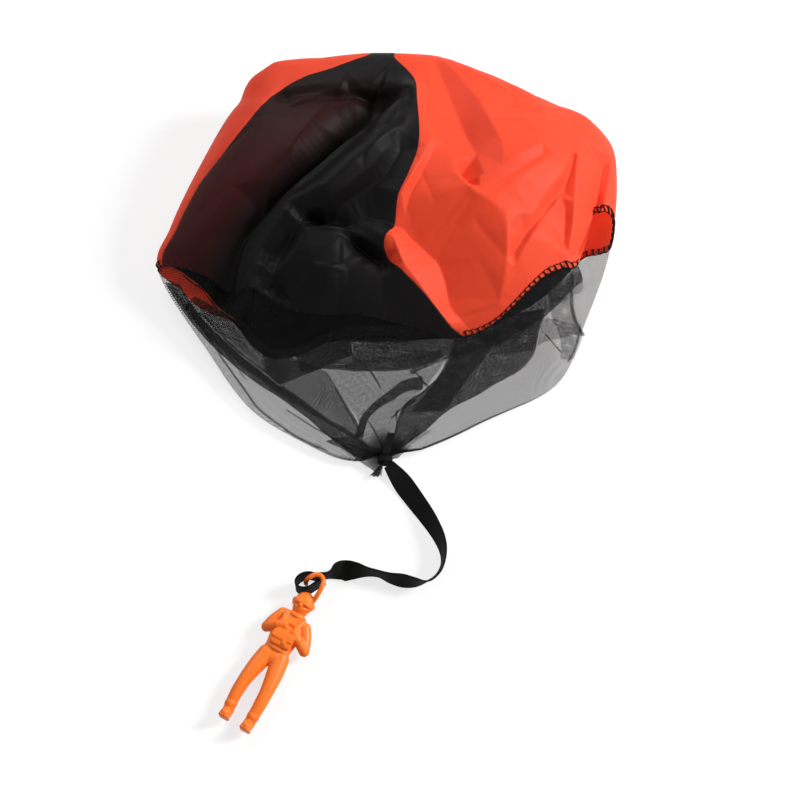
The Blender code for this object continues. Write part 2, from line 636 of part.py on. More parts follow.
def hull_of_balls(name, balls, collection):
    """Smooth taut skin over a few balls: a limb, a torso or a rounded box."""
    run = Vector(balls[-1][:3]) - Vector(balls[0][:3])
    turned = run.to_track_quat("Z", "Y").to_matrix()
    shape = bmesh.new()
    for across, along, up, radius in balls:
        ball = bmesh.new()
        bmesh.ops.create_icosphere(ball, subdivisions=ball_subdivision_count, radius=radius * figure_height)
        bmesh.ops.rotate(ball, verts=ball.verts, cent=(0, 0, 0), matrix=turned)
        for corner in ball.verts:
            shape.verts.new(corner.co + Vector(figure_place(across, along, up)))
        ball.free()
    skin = bmesh.ops.convex_hull(shape, input=shape.verts)
    inner = [corner for corner in skin["geom_interior"] if isinstance(corner, bmesh.types.BMVert)]
    bmesh.ops.delete(shape, geom=inner, context="VERTS")
    bmesh.ops.recalc_face_normals(shape, faces=shape.faces)
    mesh = bpy.data.meshes.new(name)
    shape.to_mesh(mesh)
    shape.free()
    return add_object(name, mesh, collection)


def hook_places():
    """Rod from the head over the wall of the eye and down into it."""
    crest = trim_above_table + ribbon_width + hook_rod_radius + hook_over_eye_gap - figure_above_table
    places = [figure_place(*share) for share in hook_route_shares]
    places += [figure_place(across, along, crest / figure_height) for across, along in hook_crest_shares]
    over = np.array([eye_centre[0], eye_centre[1], 0])
    beside, height = hook_inside_shares
    inside = over + (places[-1] - over) * np.array([beside, beside, height])
    tip = over + np.array([0, 0, hook_tip_share * figure_height])
    middle = over + np.array([0, 0, (inside[2] + tip[2]) / 2])
    return np.array(places + [inside, middle, tip])


def as_mesh(tube, collection):
    """A curve object turned into a welded mesh object."""
    graph = bpy.context.evaluated_depsgraph_get()
    mesh = bpy.data.meshes.new_from_object(tube.evaluated_get(graph))
    mesh.transform(tube.matrix_world)
    shell = bmesh.new()
    shell.from_mesh(mesh)
    bmesh.ops.remove_doubles(shell, verts=shell.verts, dist=probe_share * sewing_gap)
    bmesh.ops.recalc_face_normals(shell, faces=shell.faces)
    shell.to_mesh(mesh)
    shell.free()
    made = add_object(tube.name + "_solid", mesh, collection)
    bpy.data.objects.remove(tube, do_unlink=True)
    return made


def make_figure(material, collection, cutters, pivot):
    """One moulding: balls and hulls joined by a Boolean union."""
    pieces = [hull_of_balls(name, balls, cutters) for name, balls in figure_body_shares.items()]
    rod = add_tube("hook_rod", along_route(hook_places(), hook_steps), hook_rod_radius, material, cutters, 2)
    pieces.append(as_mesh(rod, cutters))
    for piece in pieces:
        piece.hide_render = True
        piece.display_type = "WIRE"
    first = pieces[0]
    figure = add_object("jumper_figure", first.data.copy(), collection, material)
    bpy.context.view_layer.update()
    bpy.data.objects.remove(first, do_unlink=True)
    join = figure.modifiers.new("join", "BOOLEAN")
    join.operation = "UNION"
    join.operand_type = "COLLECTION"
    join.collection = cutters
    graph = bpy.context.evaluated_depsgraph_get()
    joined = bpy.data.meshes.new_from_object(figure.evaluated_get(graph))
    bpy.data.objects.remove(figure, do_unlink=True)
    joined.materials.clear()
    return add_object("jumper_figure", joined, collection, material, pivot)


clear_scene()
parachute = make_collection("toy_parachute")
cutting = make_collection("figure_pieces")

black_nylon = make_material("black_nylon", (0.012, 0.011, 0.012), 0.62)
orange_nylon = make_material("orange_nylon", (0.95, 0.10, 0.05), 0.55)
black_tulle = make_material("black_tulle", (0.02, 0.02, 0.022), 0.8)
black_thread = make_material("black_thread", (0.015, 0.012, 0.014), 0.8)
black_ribbon = make_material("black_ribbon", (0.01, 0.011, 0.011), 0.6)
orange_plastic = make_material("orange_plastic", (0.95, 0.20, 0.03), 0.35)

for gore_name in gore_seams:
    cloth = orange_nylon if gore_name.endswith("orange") else black_nylon
    make_gore(gore_name, cloth, parachute)
    make_hem(gore_name.replace("gore", "hem"), gore_name, black_thread, parachute)
    make_skirt(gore_name.replace("gore", "skirt"), gore_name, black_tulle, parachute)
for seam_name in seam_angle_degrees:
    make_seam("seam_" + seam_name, seam_name, black_thread, parachute)
make_bundle(black_tulle, parachute)
make_wrap(black_ribbon, parachute)
make_tuft(black_tulle, parachute)
make_tail(black_ribbon, parachute)

ribbon_pivot = add_pivot("ribbon_pivot", (*ribbon_route[0], 0), parachute)
make_ribbon(black_ribbon, parachute, ribbon_pivot)
make_tack(black_thread, parachute, ribbon_pivot)
figure_pivot = add_pivot("figure_pivot", (eye_centre[0], eye_centre[1], 0), parachute)
make_figure(orange_plastic, parachute, cutting, figure_pivot)
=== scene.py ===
import math

import bmesh
import bpy
import numpy as np
from mathutils.geometry import delaunay_2d_cdt
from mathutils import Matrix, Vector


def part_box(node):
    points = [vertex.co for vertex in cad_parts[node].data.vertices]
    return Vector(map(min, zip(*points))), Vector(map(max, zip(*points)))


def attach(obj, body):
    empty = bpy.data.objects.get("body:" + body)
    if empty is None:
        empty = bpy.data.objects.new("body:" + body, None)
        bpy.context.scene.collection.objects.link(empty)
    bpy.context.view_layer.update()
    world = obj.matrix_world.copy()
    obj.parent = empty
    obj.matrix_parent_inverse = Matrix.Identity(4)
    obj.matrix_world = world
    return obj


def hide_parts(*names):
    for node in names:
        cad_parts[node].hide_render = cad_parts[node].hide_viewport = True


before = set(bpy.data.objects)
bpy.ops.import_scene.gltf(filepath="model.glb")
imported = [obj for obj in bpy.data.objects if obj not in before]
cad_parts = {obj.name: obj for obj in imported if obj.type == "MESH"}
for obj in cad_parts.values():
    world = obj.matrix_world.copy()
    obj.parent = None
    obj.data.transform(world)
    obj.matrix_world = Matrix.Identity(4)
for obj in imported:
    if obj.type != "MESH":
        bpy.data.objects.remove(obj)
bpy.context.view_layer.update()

print("stage 1: frame loaded")

# lines drawn over the table plane are written in millimetres
perMetre = 1000
# two points closer than this are one point
samePlace = 1e-7
# what is this close to an edge counts as inside it
slack = 1e-6
# nearly all of a noise lies between these
noiseRange = (0.3, 0.7)


def toLinear(hexText):
    # sRGB hex to linear: ((c + 0.055) / 1.055) to the power 2.4, or c / 12.92 where it is dark
    channels = np.array([int(hexText[start:start + 2], 16) for start in (1, 3, 5)]) / 255
    linear = np.where(channels > 0.04045, ((channels + 0.055) / 1.055) ** 2.4, channels / 12.92)
    return [float(value) for value in linear] + [1.0]


def addNode(tree, kind, inputs=None, **settings):
    # inputs go by name or number: a socket is linked, and a value is set
    node = tree.nodes.new(kind)
    for name, value in settings.items():
        setattr(node, name, value)
    for name, value in (inputs or {}).items():
        if isinstance(value, bpy.types.NodeSocket):
            tree.links.new(value, node.inputs[name])
        else:
            node.inputs[name].default_value = value
    return node


def newMaterial(name):
    material = bpy.data.materials.new(name)
    material.use_nodes = True
    tree = material.node_tree
    tree.nodes.clear()
    return material, tree


def surfacePiece(name, grids, material, uvs=None, values=None, wall=0.0):
    # each grid is rows by columns of places; four neighbours make a quad, and doubled points at
    # poles and closed rings are merged afterwards
    places, faces, corners, pointValues = [], [], [], []
    first = 0
    for which, grid in enumerate(grids):
        rows, columns = grid.shape[:2]
        number = np.arange(rows * columns).reshape(rows, columns)
        quads = np.stack([number[:-1, :-1], number[:-1, 1:], number[1:, 1:], number[1:, :-1]], axis=-1)
        quads = quads.reshape(-1, 4)
        places.append(grid.reshape(-1, 3))
        faces.append(quads + first)
        if uvs is not None:
            corners.append(uvs[which].reshape(-1, 2)[quads].reshape(-1, 2))
        if values is not None:
            pointValues.append(values[which].reshape(-1))
        first += rows * columns
    mesh = bpy.data.meshes.new(name)
    mesh.from_pydata(np.concatenate(places).tolist(), [], np.concatenate(faces).tolist())
    if uvs is not None:
        layer = mesh.uv_layers.new(name="UVMap")
        layer.data.foreach_set("uv", np.concatenate(corners).astype(np.float32).ravel())
    if values is not None:
        attribute = mesh.attributes.new("amount", "FLOAT", "POINT")
        attribute.data.foreach_set("value", np.concatenate(pointValues).astype(np.float32))
    shell = bmesh.new()
    shell.from_mesh(mesh)
    bmesh.ops.remove_doubles(shell, verts=shell.verts, dist=samePlace)
    shell.to_mesh(mesh)
    shell.free()
    mesh.shade_smooth()
    mesh.materials.append(material)
    piece = bpy.data.objects.new(name, mesh)
    bpy.context.scene.collection.objects.link(piece)
    if wall:
        cover = piece.modifiers.new("wall", "SOLIDIFY")
        cover.thickness = wall
        cover.offset = -1
    return piece


def smoothThrough(stations, values, at):
    # cubic through the values at the stations, with slopes taken from the neighbours
    stations = np.asarray(stations, float)
    values = np.asarray(values, float)
    if values.ndim == 1:
        return smoothThrough(stations, values[:, None], at)[..., 0]
    slopes = np.gradient(values, stations, axis=0)
    at = np.clip(at, stations[0], stations[-1])
    low = np.clip(np.searchsorted(stations, at, side="right") - 1, 0, len(stations) - 2)
    span = (stations[low + 1] - stations[low])[..., None]
    way = (at - stations[low])[..., None] / span
    rise = values[low + 1] - values[low]
    start, end = slopes[low] * span, slopes[low + 1] * span
    return values[low] + way * start + way**2 * (3 * rise - 2 * start - end) \
        + way**3 * (start + end - 2 * rise)


def roundTrip(degrees, values, at):
    # the same for values against an angle that comes round again after a full turn
    degrees = np.concatenate([np.subtract(degrees, 360), degrees, np.add(degrees, 360)])
    return smoothThrough(degrees, np.tile(values, 3), np.mod(at, 360))


def runAlong(places):
    # length gone along a line at each of its places
    return np.concatenate([[0], np.cumsum(np.linalg.norm(np.diff(places, axis=0), axis=1))])


def readLine(at, run, points):
    # straight between the two nearest points, in every column
    return np.stack([np.interp(at, run, points[:, axis]) for axis in range(points.shape[1])], axis=1)


def alongRoute(points, count):
    # evenly spaced points on one smooth curve through a route's points
    points = np.asarray(points, float)
    lengths = runAlong(points)
    fine = smoothThrough(lengths, points, np.linspace(0, lengths[-1], 20 * count))
    run = runAlong(fine)
    return readLine(np.linspace(0, run[-1], count), run, fine)


def unit(vectors):
    # each vector divided by its length
    return vectors / np.maximum(np.linalg.norm(vectors, axis=-1, keepdims=True), 1e-12)


def headings(path):
    # unit direction of a path at each of its points
    return unit(np.gradient(path, axis=0))


def ramp(value, low, high):
    # three times the squared way less twice the cubed way: an S from 0 at low to 1 at high
    way = np.clip((value - low) / (high - low), 0, 1)
    return way * way * (3 - 2 * way)


def between(value, rise, fall):
    # comes in over the rise and goes out again over the fall
    return ramp(value, *rise) * (1 - ramp(value, *fall))


def closeEnds(grid, line):
    # one more row at each end, all of it on the line's end point, closes the tube
    start, end = (np.broadcast_to(line[place], grid[:1].shape) for place in (0, -1))
    return np.concatenate([start, grid, end])


def tubeGrid(path, radius, around, upHint=(0.0, 0.0, 1.0)):
    # ring of points square to the path at each of its points: side * cosine + up * sine
    path = np.asarray(path, float)
    heading = headings(path)
    side = unit(np.cross(heading, upHint))
    up = np.cross(side, heading)
    turn = np.linspace(0, 2 * math.pi, around + 1)
    radius = np.broadcast_to(radius, len(path))[:, None, None]
    ring = side[:, None] * np.cos(turn)[None, :, None] + up[:, None] * np.sin(turn)[None, :, None]
    return closeEnds(path[:, None] + ring * radius, path)


def surfaceUv(grid):
    # metres along the surface from the first column, and from the first row
    across, along = (np.cumsum(np.linalg.norm(np.diff(grid, axis=axis), axis=2), axis=axis) for axis in (1, 0))
    return np.stack([np.pad(across, ((0, 0), (1, 0))), np.pad(along, ((1, 0), (0, 0)))], axis=-1)


def turnedUv(x, y, turn):
    # metres over the table plane, turned by an angle
    return np.stack([x * np.cos(turn) + y * np.sin(turn), y * np.cos(turn) - x * np.sin(turn)], axis=-1)


def clothArea(grid):
    # half the cross product of each quad's diagonals, added up
    first, second = grid[1:, 1:] - grid[:-1, :-1], grid[:-1, 1:] - grid[1:, :-1]
    return float(np.linalg.norm(np.cross(first, second), axis=2).sum() / 2)


# camera at the photograph's angle
camera = {"place": (0.00696, -0.56177, 0.92687), "lens": 80, "sensor": 36, "elevation": 64}
cameraData = bpy.data.cameras.new("camera")
cameraData.lens = camera["lens"]
cameraData.sensor_width = camera["sensor"]
cameraObject = bpy.data.objects.new("camera", cameraData)
cameraObject.location = camera["place"]
cameraObject.rotation_euler = (math.radians(90 - camera["elevation"]), 0, 0)
bpy.context.scene.collection.objects.link(cameraObject)
bpy.context.scene.camera = cameraObject


def calculate(tree, operation, first, second=0.0):
    return addNode(tree, "ShaderNodeMath", {0: first, 1: second}, operation=operation).outputs[0]


def mapRange(tree, value, low, high, start, end):
    # what lies between low and high is moved to between start and end
    return addNode(tree, "ShaderNodeMapRange", {0: value, 1: low, 2: high, 3: start, 4: end}).outputs[0]


def noiseOf(tree, scale, detail=2.0):
    # noise through the piece's own space, its scale in waves to the metre
    spot = addNode(tree, "ShaderNodeTexCoord").outputs["Object"]
    return addNode(tree, "ShaderNodeTexNoise", {"Vector": spot, "Scale": scale, "Detail": detail}).outputs[0]


def mottled(tree, colour, noise, least, most):
    # colour times a shade that follows the noise from least to most
    shade = mapRange(tree, noise, *noiseRange, least, most)
    return addNode(tree, "ShaderNodeVectorMath", {0: colour, 1: shade}, operation="MULTIPLY").outputs[0]


def bumpFrom(tree, height, distance, strength, normal=None):
    # normal leant by a height, on top of another normal where one is given
    inputs = {"Height": height, "Distance": distance, "Strength": strength}
    if normal is not None:
        inputs["Normal"] = normal
    return addNode(tree, "ShaderNodeBump", inputs).outputs["Normal"]


def uvPlace(tree):
    return addNode(tree, "ShaderNodeUVMap", uv_map="UVMap").outputs["UV"]


def amountOf(tree):
    # the value that a piece's function gives each point
    return addNode(tree, "ShaderNodeAttribute", attribute_name="amount").outputs["Fac"]


def weaveHeight(tree, pitch):
    # plain weave over UV metres: sine across times sine along, one thread each half wave
    split = addNode(tree, "ShaderNodeSeparateXYZ", {"Vector": uvPlace(tree)})
    waves = [calculate(tree, "SINE", calculate(tree, "MULTIPLY", split.outputs[axis], math.pi / pitch))
             for axis in ("X", "Y")]
    return calculate(tree, "MULTIPLY", *waves)


def mixed(tree, share, first, second):
    return addNode(tree, "ShaderNodeMixShader", {0: share, 1: first.outputs[0], 2: second.outputs[0]})


def fibreShader(tree, colour, normal, roughness, gloss, index=1.5):
    return addNode(tree, "ShaderNodeBsdfPrincipled",
                   {"Base Color": colour, "Roughness": roughness, "IOR": index, "Specular IOR Level": gloss,
                    "Normal": normal})


def showShader(tree, shader):
    addNode(tree, "ShaderNodeOutputMaterial", {"Surface": shader.outputs[0]})


def nylonTaffeta(name, colour, glowColour, through, roughness, gloss):
    # nylon taffeta, woven and calendered: thin, faintly shiny, and it glows where light comes through
    material, tree = newMaterial(name)
    # the second colour is a painted glow, mixed in by each point's amount
    inputs = {"Factor": amountOf(tree), 6: toLinear(colour), 7: toLinear(glowColour)}
    base = addNode(tree, "ShaderNodeMix", inputs, data_type="RGBA").outputs[2]
    tinted = mottled(tree, base, noiseOf(tree, scale=55.0, detail=3.0), least=0.95, most=1.05)
    # 0.13 mm threads are too fine for the render, so they are drawn at 0.5 mm
    weave = bumpFrom(tree, weaveHeight(tree, pitch=0.0005), distance=0.00003, strength=0.35)
    normal = bumpFrom(tree, noiseOf(tree, scale=160.0), distance=0.0006, strength=0.35, normal=weave)
    shader = fibreShader(tree, tinted, normal, roughness, gloss, index=1.53)
    glow = addNode(tree, "ShaderNodeBsdfTranslucent", {"Color": tinted, "Normal": normal})
    showShader(tree, mixed(tree, through, shader, glow))
    return material


def tulleNet(name, colour, pitch, thread, edge=0.25):
    # bobbinet tulle, knitted from fine polyester: open hexagons whose threads catch little light
    material, tree = newMaterial(name)
    place = uvPlace(tree)
    waves = []
    for degrees in (0, 60, 120):
        # three cosine waves 60 degrees apart add up to hexagons, high in the middle and low on the threads
        heading = (math.cos(math.radians(degrees)), math.sin(math.radians(degrees)), 0.0)
        run = addNode(tree, "ShaderNodeVectorMath", {0: place, 1: heading}, operation="DOT_PRODUCT")
        turned = calculate(tree, "MULTIPLY", run.outputs["Value"], 4 * math.pi / (math.sqrt(3) * pitch))
        waves.append(calculate(tree, "COSINE", turned))
    total = calculate(tree, "ADD", calculate(tree, "ADD", waves[0], waves[1]), waves[2])
    net = mapRange(tree, total, thread + edge, thread - edge, 0.0, 1.0)
    cover = calculate(tree, "MAXIMUM", net, amountOf(tree))
    showShader(tree, addNode(tree, "ShaderNodeBsdfPrincipled", {
        "Base Color": toLinear(colour), "Roughness": 0.75, "IOR": 1.5, "Alpha": cover,
        "Specular IOR Level": 0.15}))
    return material


def spunThread(name, colour):
    # spun polyester sewing thread, matt, with a fine twist
    material, tree = newMaterial(name)
    twist = noiseOf(tree, scale=2600.0)
    tinted = mottled(tree, toLinear(colour)[:3], twist, least=0.8, most=1.25)
    normal = bumpFrom(tree, twist, distance=0.0001, strength=0.6)
    showShader(tree, fibreShader(tree, tinted, normal, roughness=0.8, gloss=0.1))
    return material


def wovenTape(name, colour, pitch):
    # polyester tape, woven narrow with a tight selvedge: matt black with a fine crosswise rib
    material, tree = newMaterial(name)
    lint = noiseOf(tree, scale=900.0, detail=3.0)
    tinted = mottled(tree, toLinear(colour)[:3], lint, least=0.8, most=1.25)
    normal = bumpFrom(tree, weaveHeight(tree, pitch), distance=0.00008, strength=0.7)
    showShader(tree, fibreShader(tree, tinted, normal, roughness=0.7, gloss=0.08))
    return material


def mouldedPlastic(name, colour):
    # injection-moulded polyethylene: bright, half matt, slightly waxy, with light passing in a little
    material, tree = newMaterial(name)
    normal = bumpFrom(tree, noiseOf(tree, scale=1400.0), distance=0.00003, strength=0.5)
    rough = mapRange(tree, noiseOf(tree, scale=90.0), *noiseRange, 0.38, 0.5)
    showShader(tree, addNode(tree, "ShaderNodeBsdfPrincipled", {
        "Base Color": toLinear(colour), "Roughness": rough, "IOR": 1.51, "Specular IOR Level": 0.35,
        "Subsurface Weight": 0.15, "Subsurface Scale": 0.0012, "Subsurface Radius": (1.0, 0.4, 0.15),
        "Normal": normal}))
    return material


# the black nylon's second colour, dark maroon, is painted glow of orange light through the cloth
blackNylon = nylonTaffeta("black_nylon_taffeta", "#0d0b0c", "#38100f", through=0.025,
                          roughness=0.5, gloss=0.065)
# a darker copy of the black nylon: painted shade for the front lip, which lies in shade under the net
shadedNylon = nylonTaffeta("black_nylon_matt_painted_shade", "#070606", "#16090a", through=0.02,
                          roughness=0.7, gloss=0.02)
orangeNylon = nylonTaffeta("orange_nylon_taffeta", "#ff5537", "#e2402c", through=0.3,
                           roughness=0.5, gloss=0.12)
blackTulle = tulleNet("black_polyester_tulle", "#0b0c0c", pitch=0.0009, thread=-0.79)
blackThread = spunThread("black_overlock_thread", "#100d0e")
blackTape = wovenTape("black_woven_tape", "#0b0c0b", pitch=0.0008)
orangePlastic = mouldedPlastic("orange_moulded_plastic", "#ff7a1e")
print("stage 2: camera and materials")

# ribbon: the cord from the gather to the figure's hook, its route in metres over the table plane
ribbon = {
    "width": 0.012, "thickness": 0.0008, "startWidth": 0.0066, "widening": 0.018, "aboveTable": 0.0003,
    "knotHeight": 0.0047, "steps": 260, "length": 0.178,
    # section in shares of half the width: where its flat faces end and where the thicker selvedge begins
    "flatShare": 0.97, "flatPoints": 15, "selvedge": 0.25, "selvedgeShares": (0.82, 0.9),
    "route": (
        (0.0006, -0.1528), (0.0062, -0.1604), (0.0112, -0.1679), (0.0162, -0.1756), (0.0211, -0.1831),
        (0.0255, -0.1906), (0.0290, -0.1979), (0.0310, -0.2051), (0.0307, -0.2125), (0.0273, -0.2195),
        (0.0212, -0.2237), (0.0146, -0.2240), (0.0081, -0.2230), (0.0015, -0.2216), (-0.0051, -0.2190),
        (-0.0117, -0.2178), (-0.0184, -0.2169), (-0.0250, -0.2166), (-0.0315, -0.2196), (-0.0381, -0.2210)),
    "rollWays": (0, 0.12, 0.25, 0.37, 0.47, 0.53, 0.575, 0.62, 0.667, 0.714, 0.763, 0.81, 0.856, 0.895, 0.925,
                 0.95, 1.0),
    "rollDegrees": (12, 29, 49, 68, 80, 74, 72, 94, 106, 97, 87, 95, 122, 144, 118, 91, 90),
    "eyeCentre": (-0.0445, -0.2246), "eyeHalfLength": 0.0058, "eyeHalfWidth": 0.0042, "eyeHeading": 20,
    "eyeTurns": (60, 300), "eyeSteps": 16, "routeSteps": 72, "overlapSteps": 3, "sewnApart": 0.0024}


def ribbonLines():
    # centre line, direction across, direction square to the tape and width, from knot to sewn end
    route = alongRoute([(*place, 0) for place in ribbon["route"]], ribbon["routeSteps"])
    turns = np.radians(np.linspace(*ribbon["eyeTurns"], ribbon["eyeSteps"]))
    along, beside = np.cos(turns) * ribbon["eyeHalfLength"], np.sin(turns) * ribbon["eyeHalfWidth"]
    heading = math.radians(ribbon["eyeHeading"])
    cosine, sine = math.cos(heading), math.sin(heading)
    centre = ribbon["eyeCentre"]
    oval = np.stack([centre[0] + along * cosine - beside * sine, centre[1] + along * sine + beside * cosine,
                     np.zeros(len(turns))], axis=1)
    sewn = route[-ribbon["overlapSteps"]] - np.array([0, ribbon["sewnApart"], 0])
    line = np.concatenate([route, oval, (oval[-1] + sewn)[None] / 2, sewn[None]])
    share = np.concatenate([np.linspace(0, 1, len(route)), np.ones(len(line) - len(route))])
    run = runAlong(line)
    even = np.linspace(0, run[-1], ribbon["steps"])
    line = smoothThrough(run, line, even)
    roll = np.radians(smoothThrough(ribbon["rollWays"], ribbon["rollDegrees"], np.interp(even, run, share)))
    forward = headings(line)
    aside = np.stack([-forward[:, 1], forward[:, 0], np.zeros(len(line))], axis=1)
    across = aside * np.cos(roll)[:, None] + np.array([0, 0, 1.0]) * np.sin(roll)[:, None]
    square = np.cross(forward, across)
    opened = np.clip(even / ribbon["widening"], 0, 1)
    width = ribbon["startWidth"] + (ribbon["width"] - ribbon["startWidth"]) * np.sin(opened * math.pi / 2)
    lift = np.abs(across[:, 2]) * width / 2 + np.abs(square[:, 2]) * ribbon["thickness"] / 2
    lift = lift + ribbon["aboveTable"]
    line[:, 2] = np.maximum(lift, ribbon["knotHeight"] * (1 - opened) + lift * opened)
    return line, across, square, width, even


def makeRibbon():
    # section carried along the line: flat faces, a rounded edge and a selvedge a little thicker
    line, across, square, width, even = ribbonLines()
    flat, count = ribbon["flatShare"], ribbon["flatPoints"]
    side = np.concatenate([np.linspace(-flat, flat, count), [1.0], np.linspace(flat, -flat, count),
                           [-1.0, -flat]])
    wall = np.concatenate([np.full(count, 1.0), [0.0], np.full(count, -1.0), [0.0, 1.0]])
    edge = 1 + ribbon["selvedge"] * ramp(np.abs(side), *ribbon["selvedgeShares"]) * np.abs(wall)
    halfWidth, halfWall = across * width[:, None] / 2, square * ribbon["thickness"] / 2
    grid = line[:, None] + halfWidth[:, None] * side[None, :, None] \
        + halfWall[:, None] * (wall * edge)[None, :, None]
    grid = closeEnds(grid, line)
    run = np.concatenate([[0], even, [even[-1]]])
    uv = np.stack(np.broadcast_arrays(side[None] * ribbon["width"] / 2, run[:, None]), axis=-1)
    piece = surfacePiece("woven_ribbon", [grid[:, ::-1]], blackTape, [uv[:, ::-1]])
    print("ribbon length", round(float(runAlong(line)[-1]), 4))
    return piece, line


ribbonPiece, ribbonLine = makeRibbon()
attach(ribbonPiece, "ribbon_strap")
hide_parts("ribbon")
print("stage 3: ribbon")

# cloth of the canopy and skirt: one closed loop at each station, 0 at the crown, about 1 at the hem and
# 2 at the gather
cloth = {
    "halfWidth": 0.132, "height": 0.075, "reach": 0.251, "crownAhead": 0.102, "tableBend": 0.003,
    "pleatDepth": 0.0022, "pleats": 11, "nylonWall": 0.00012,
    # the crown's far edge is drawn in by shares of a depth, against the place across the cloth
    "trimDepth": 0.0066,
    "trimPlaces": (-0.13, -0.1, -0.093, -0.086, -0.077, -0.069, -0.06, -0.04, -0.012, 0.03, 0.052, 0.072,
                   0.088, 0.097, 0.108, 0.118, 0.13),
    "trimShares": (0.6, 0.4, 0.65, 1.2, 1.15, 0.7, 0.7, 0.8, 0.2, -0.15, 0.85, 1.5, 1.8, 1.35, 0.45, 0, 0.15),
    # between which places ahead, sines of the angle and stations each change comes in, and goes out again
    "trimAhead": (0.04, 0.1), "upperSines": (0, 0.33), "creasedStations": ((0, 0.1), (1.0, 1.3)),
    "pleatStations": ((1.1, 1.4), (1.5, 2.0)), "droopStations": ((1.6, 1.88), (1.9, 1.985)),
    "sideDroop": 0.0035,
    # degrees and stations over which the cloth's direction is measured
    "probe": (1, 0.004),
    "stations": (0, 0.12, 0.3, 0.5, 0.75, 1.0, 1.25, 1.5, 1.75, 2.0),
    # shares of half width, of reach from the crown and of height at each station
    "right": ((-0.05, 0.012, 0.42), (0.47, 0.06, 0.56), (0.83, 0.15, 0.52), (0.99, 0.215, 0.48),
              (1.03, 0.325, 0.43), (0.985, 0.51, 0.37), (0.88, 0.66, 0.19), (0.735, 0.82, 0.10),
              (0.38, 0.91, 0.07), (0.01, 0.993, 0.07)),
    "top": ((-0.05, 0.012, 0.42), (-0.015, 0.03, 0.78), (0.01, 0.17, 0.94), (0.03, 0.395, 1.0),
            (0.05, 0.575, 0.83), (0.05, 0.72, 0.57), (0.045, 0.785, 0.36), (0.03, 0.875, 0.21),
            (0.01, 0.945, 0.14), (-0.01, 0.988, 0.11)),
    "left": ((-0.05, 0.012, 0.42), (-0.53, 0.01, 0.53), (-0.70, 0.12, 0.48), (-0.855, 0.275, 0.39),
             (-0.98, 0.435, 0.31), (-1.03, 0.535, 0.19), (-0.80, 0.73, 0.11), (-0.58, 0.885, 0.07),
             (-0.27, 0.977, 0.06), (-0.035, 0.993, 0.06)),
    "bottom": ((-0.05, 0.012, 0.42), (-0.03, 0.05, 0.16), (0, 0.09, 0), (0, 0.22, -0.07), (0, 0.46, -0.08),
               (0.02, 0.69, -0.05), (0.02, 0.79, -0.02), (0, 0.87, -0.01), (0, 0.945, 0.01),
               (-0.01, 0.988, 0.02)),
    "hemDegrees": (0, 8, 18, 26, 30, 32, 35, 43, 50, 57, 64, 76, 87, 98, 112, 132, 150, 170, 225, 270, 315,
                   331, 343),
    "hemStations": (0.975, 0.915, 0.868, 0.845, 0.835, 0.9, 0.975, 0.972, 0.975, 1.03, 1.13, 1.16, 1.05,
                    0.99, 1.01, 0.95, 0.95, 0.98, 1.0, 1.0, 0.98, 0.94, 0.972),
    # each seam's angle against the way from crown to hem
    "seams": {
        "front_right": ((0, 0.08, 0.16, 0.24, 0.31, 0.41, 0.5, 0.57, 0.66, 0.755, 0.81, 0.88, 0.94, 1.0),
                        (70, 80, 87, 81.5, 82, 83, 86.5, 89.5, 91, 93.6, 89.8, 80.3, 76, 72)),
        "front_left": ((0, 0.08, 0.16, 0.24, 0.31, 0.41, 0.5, 0.57, 0.66, 0.8, 0.9, 1.0),
                       (104, 102, 98.5, 121, 135, 145, 154, 160, 163.5, 166.2, 167.6, 168.5)),
        "back_left": ((0, 0.3, 0.6, 1.0), (240, 240, 238, 232)),
        "back_right": ((0, 0.15, 0.3, 0.45, 0.6, 0.75, 1.0), (300, 303, 308, 315, 322, 328, 330))},
    # wide folds: line in shares of half width and reach, then height and width shares
    "folds": (
        (((0.07, 0.19), (0.03, 0.25), (-0.08, 0.36), (-0.27, 0.46), (-0.41, 0.47), (-0.55, 0.56),
          (-0.63, 0.70)), 0.13, 0.075),
        (((-0.03, 0.21), (-0.29, 0.37), (-0.51, 0.47), (-0.67, 0.62)), -0.17, 0.10),
        (((-0.47, 0.17), (-0.17, 0.17), (0.03, 0.18)), -0.045, 0.035),
        (((-0.37, 0.49), (-0.22, 0.51), (-0.02, 0.60)), -0.07, 0.045),
        (((-0.27, 0.62), (-0.2, 0.64)), 0.06, 0.16))}

gores = {"gore_front_black": ("front_right", "front_left"), "gore_left_orange": ("front_left", "back_left"),
         "gore_back_black": ("back_left", "back_right"), "gore_right_orange": ("back_right", "front_right")}

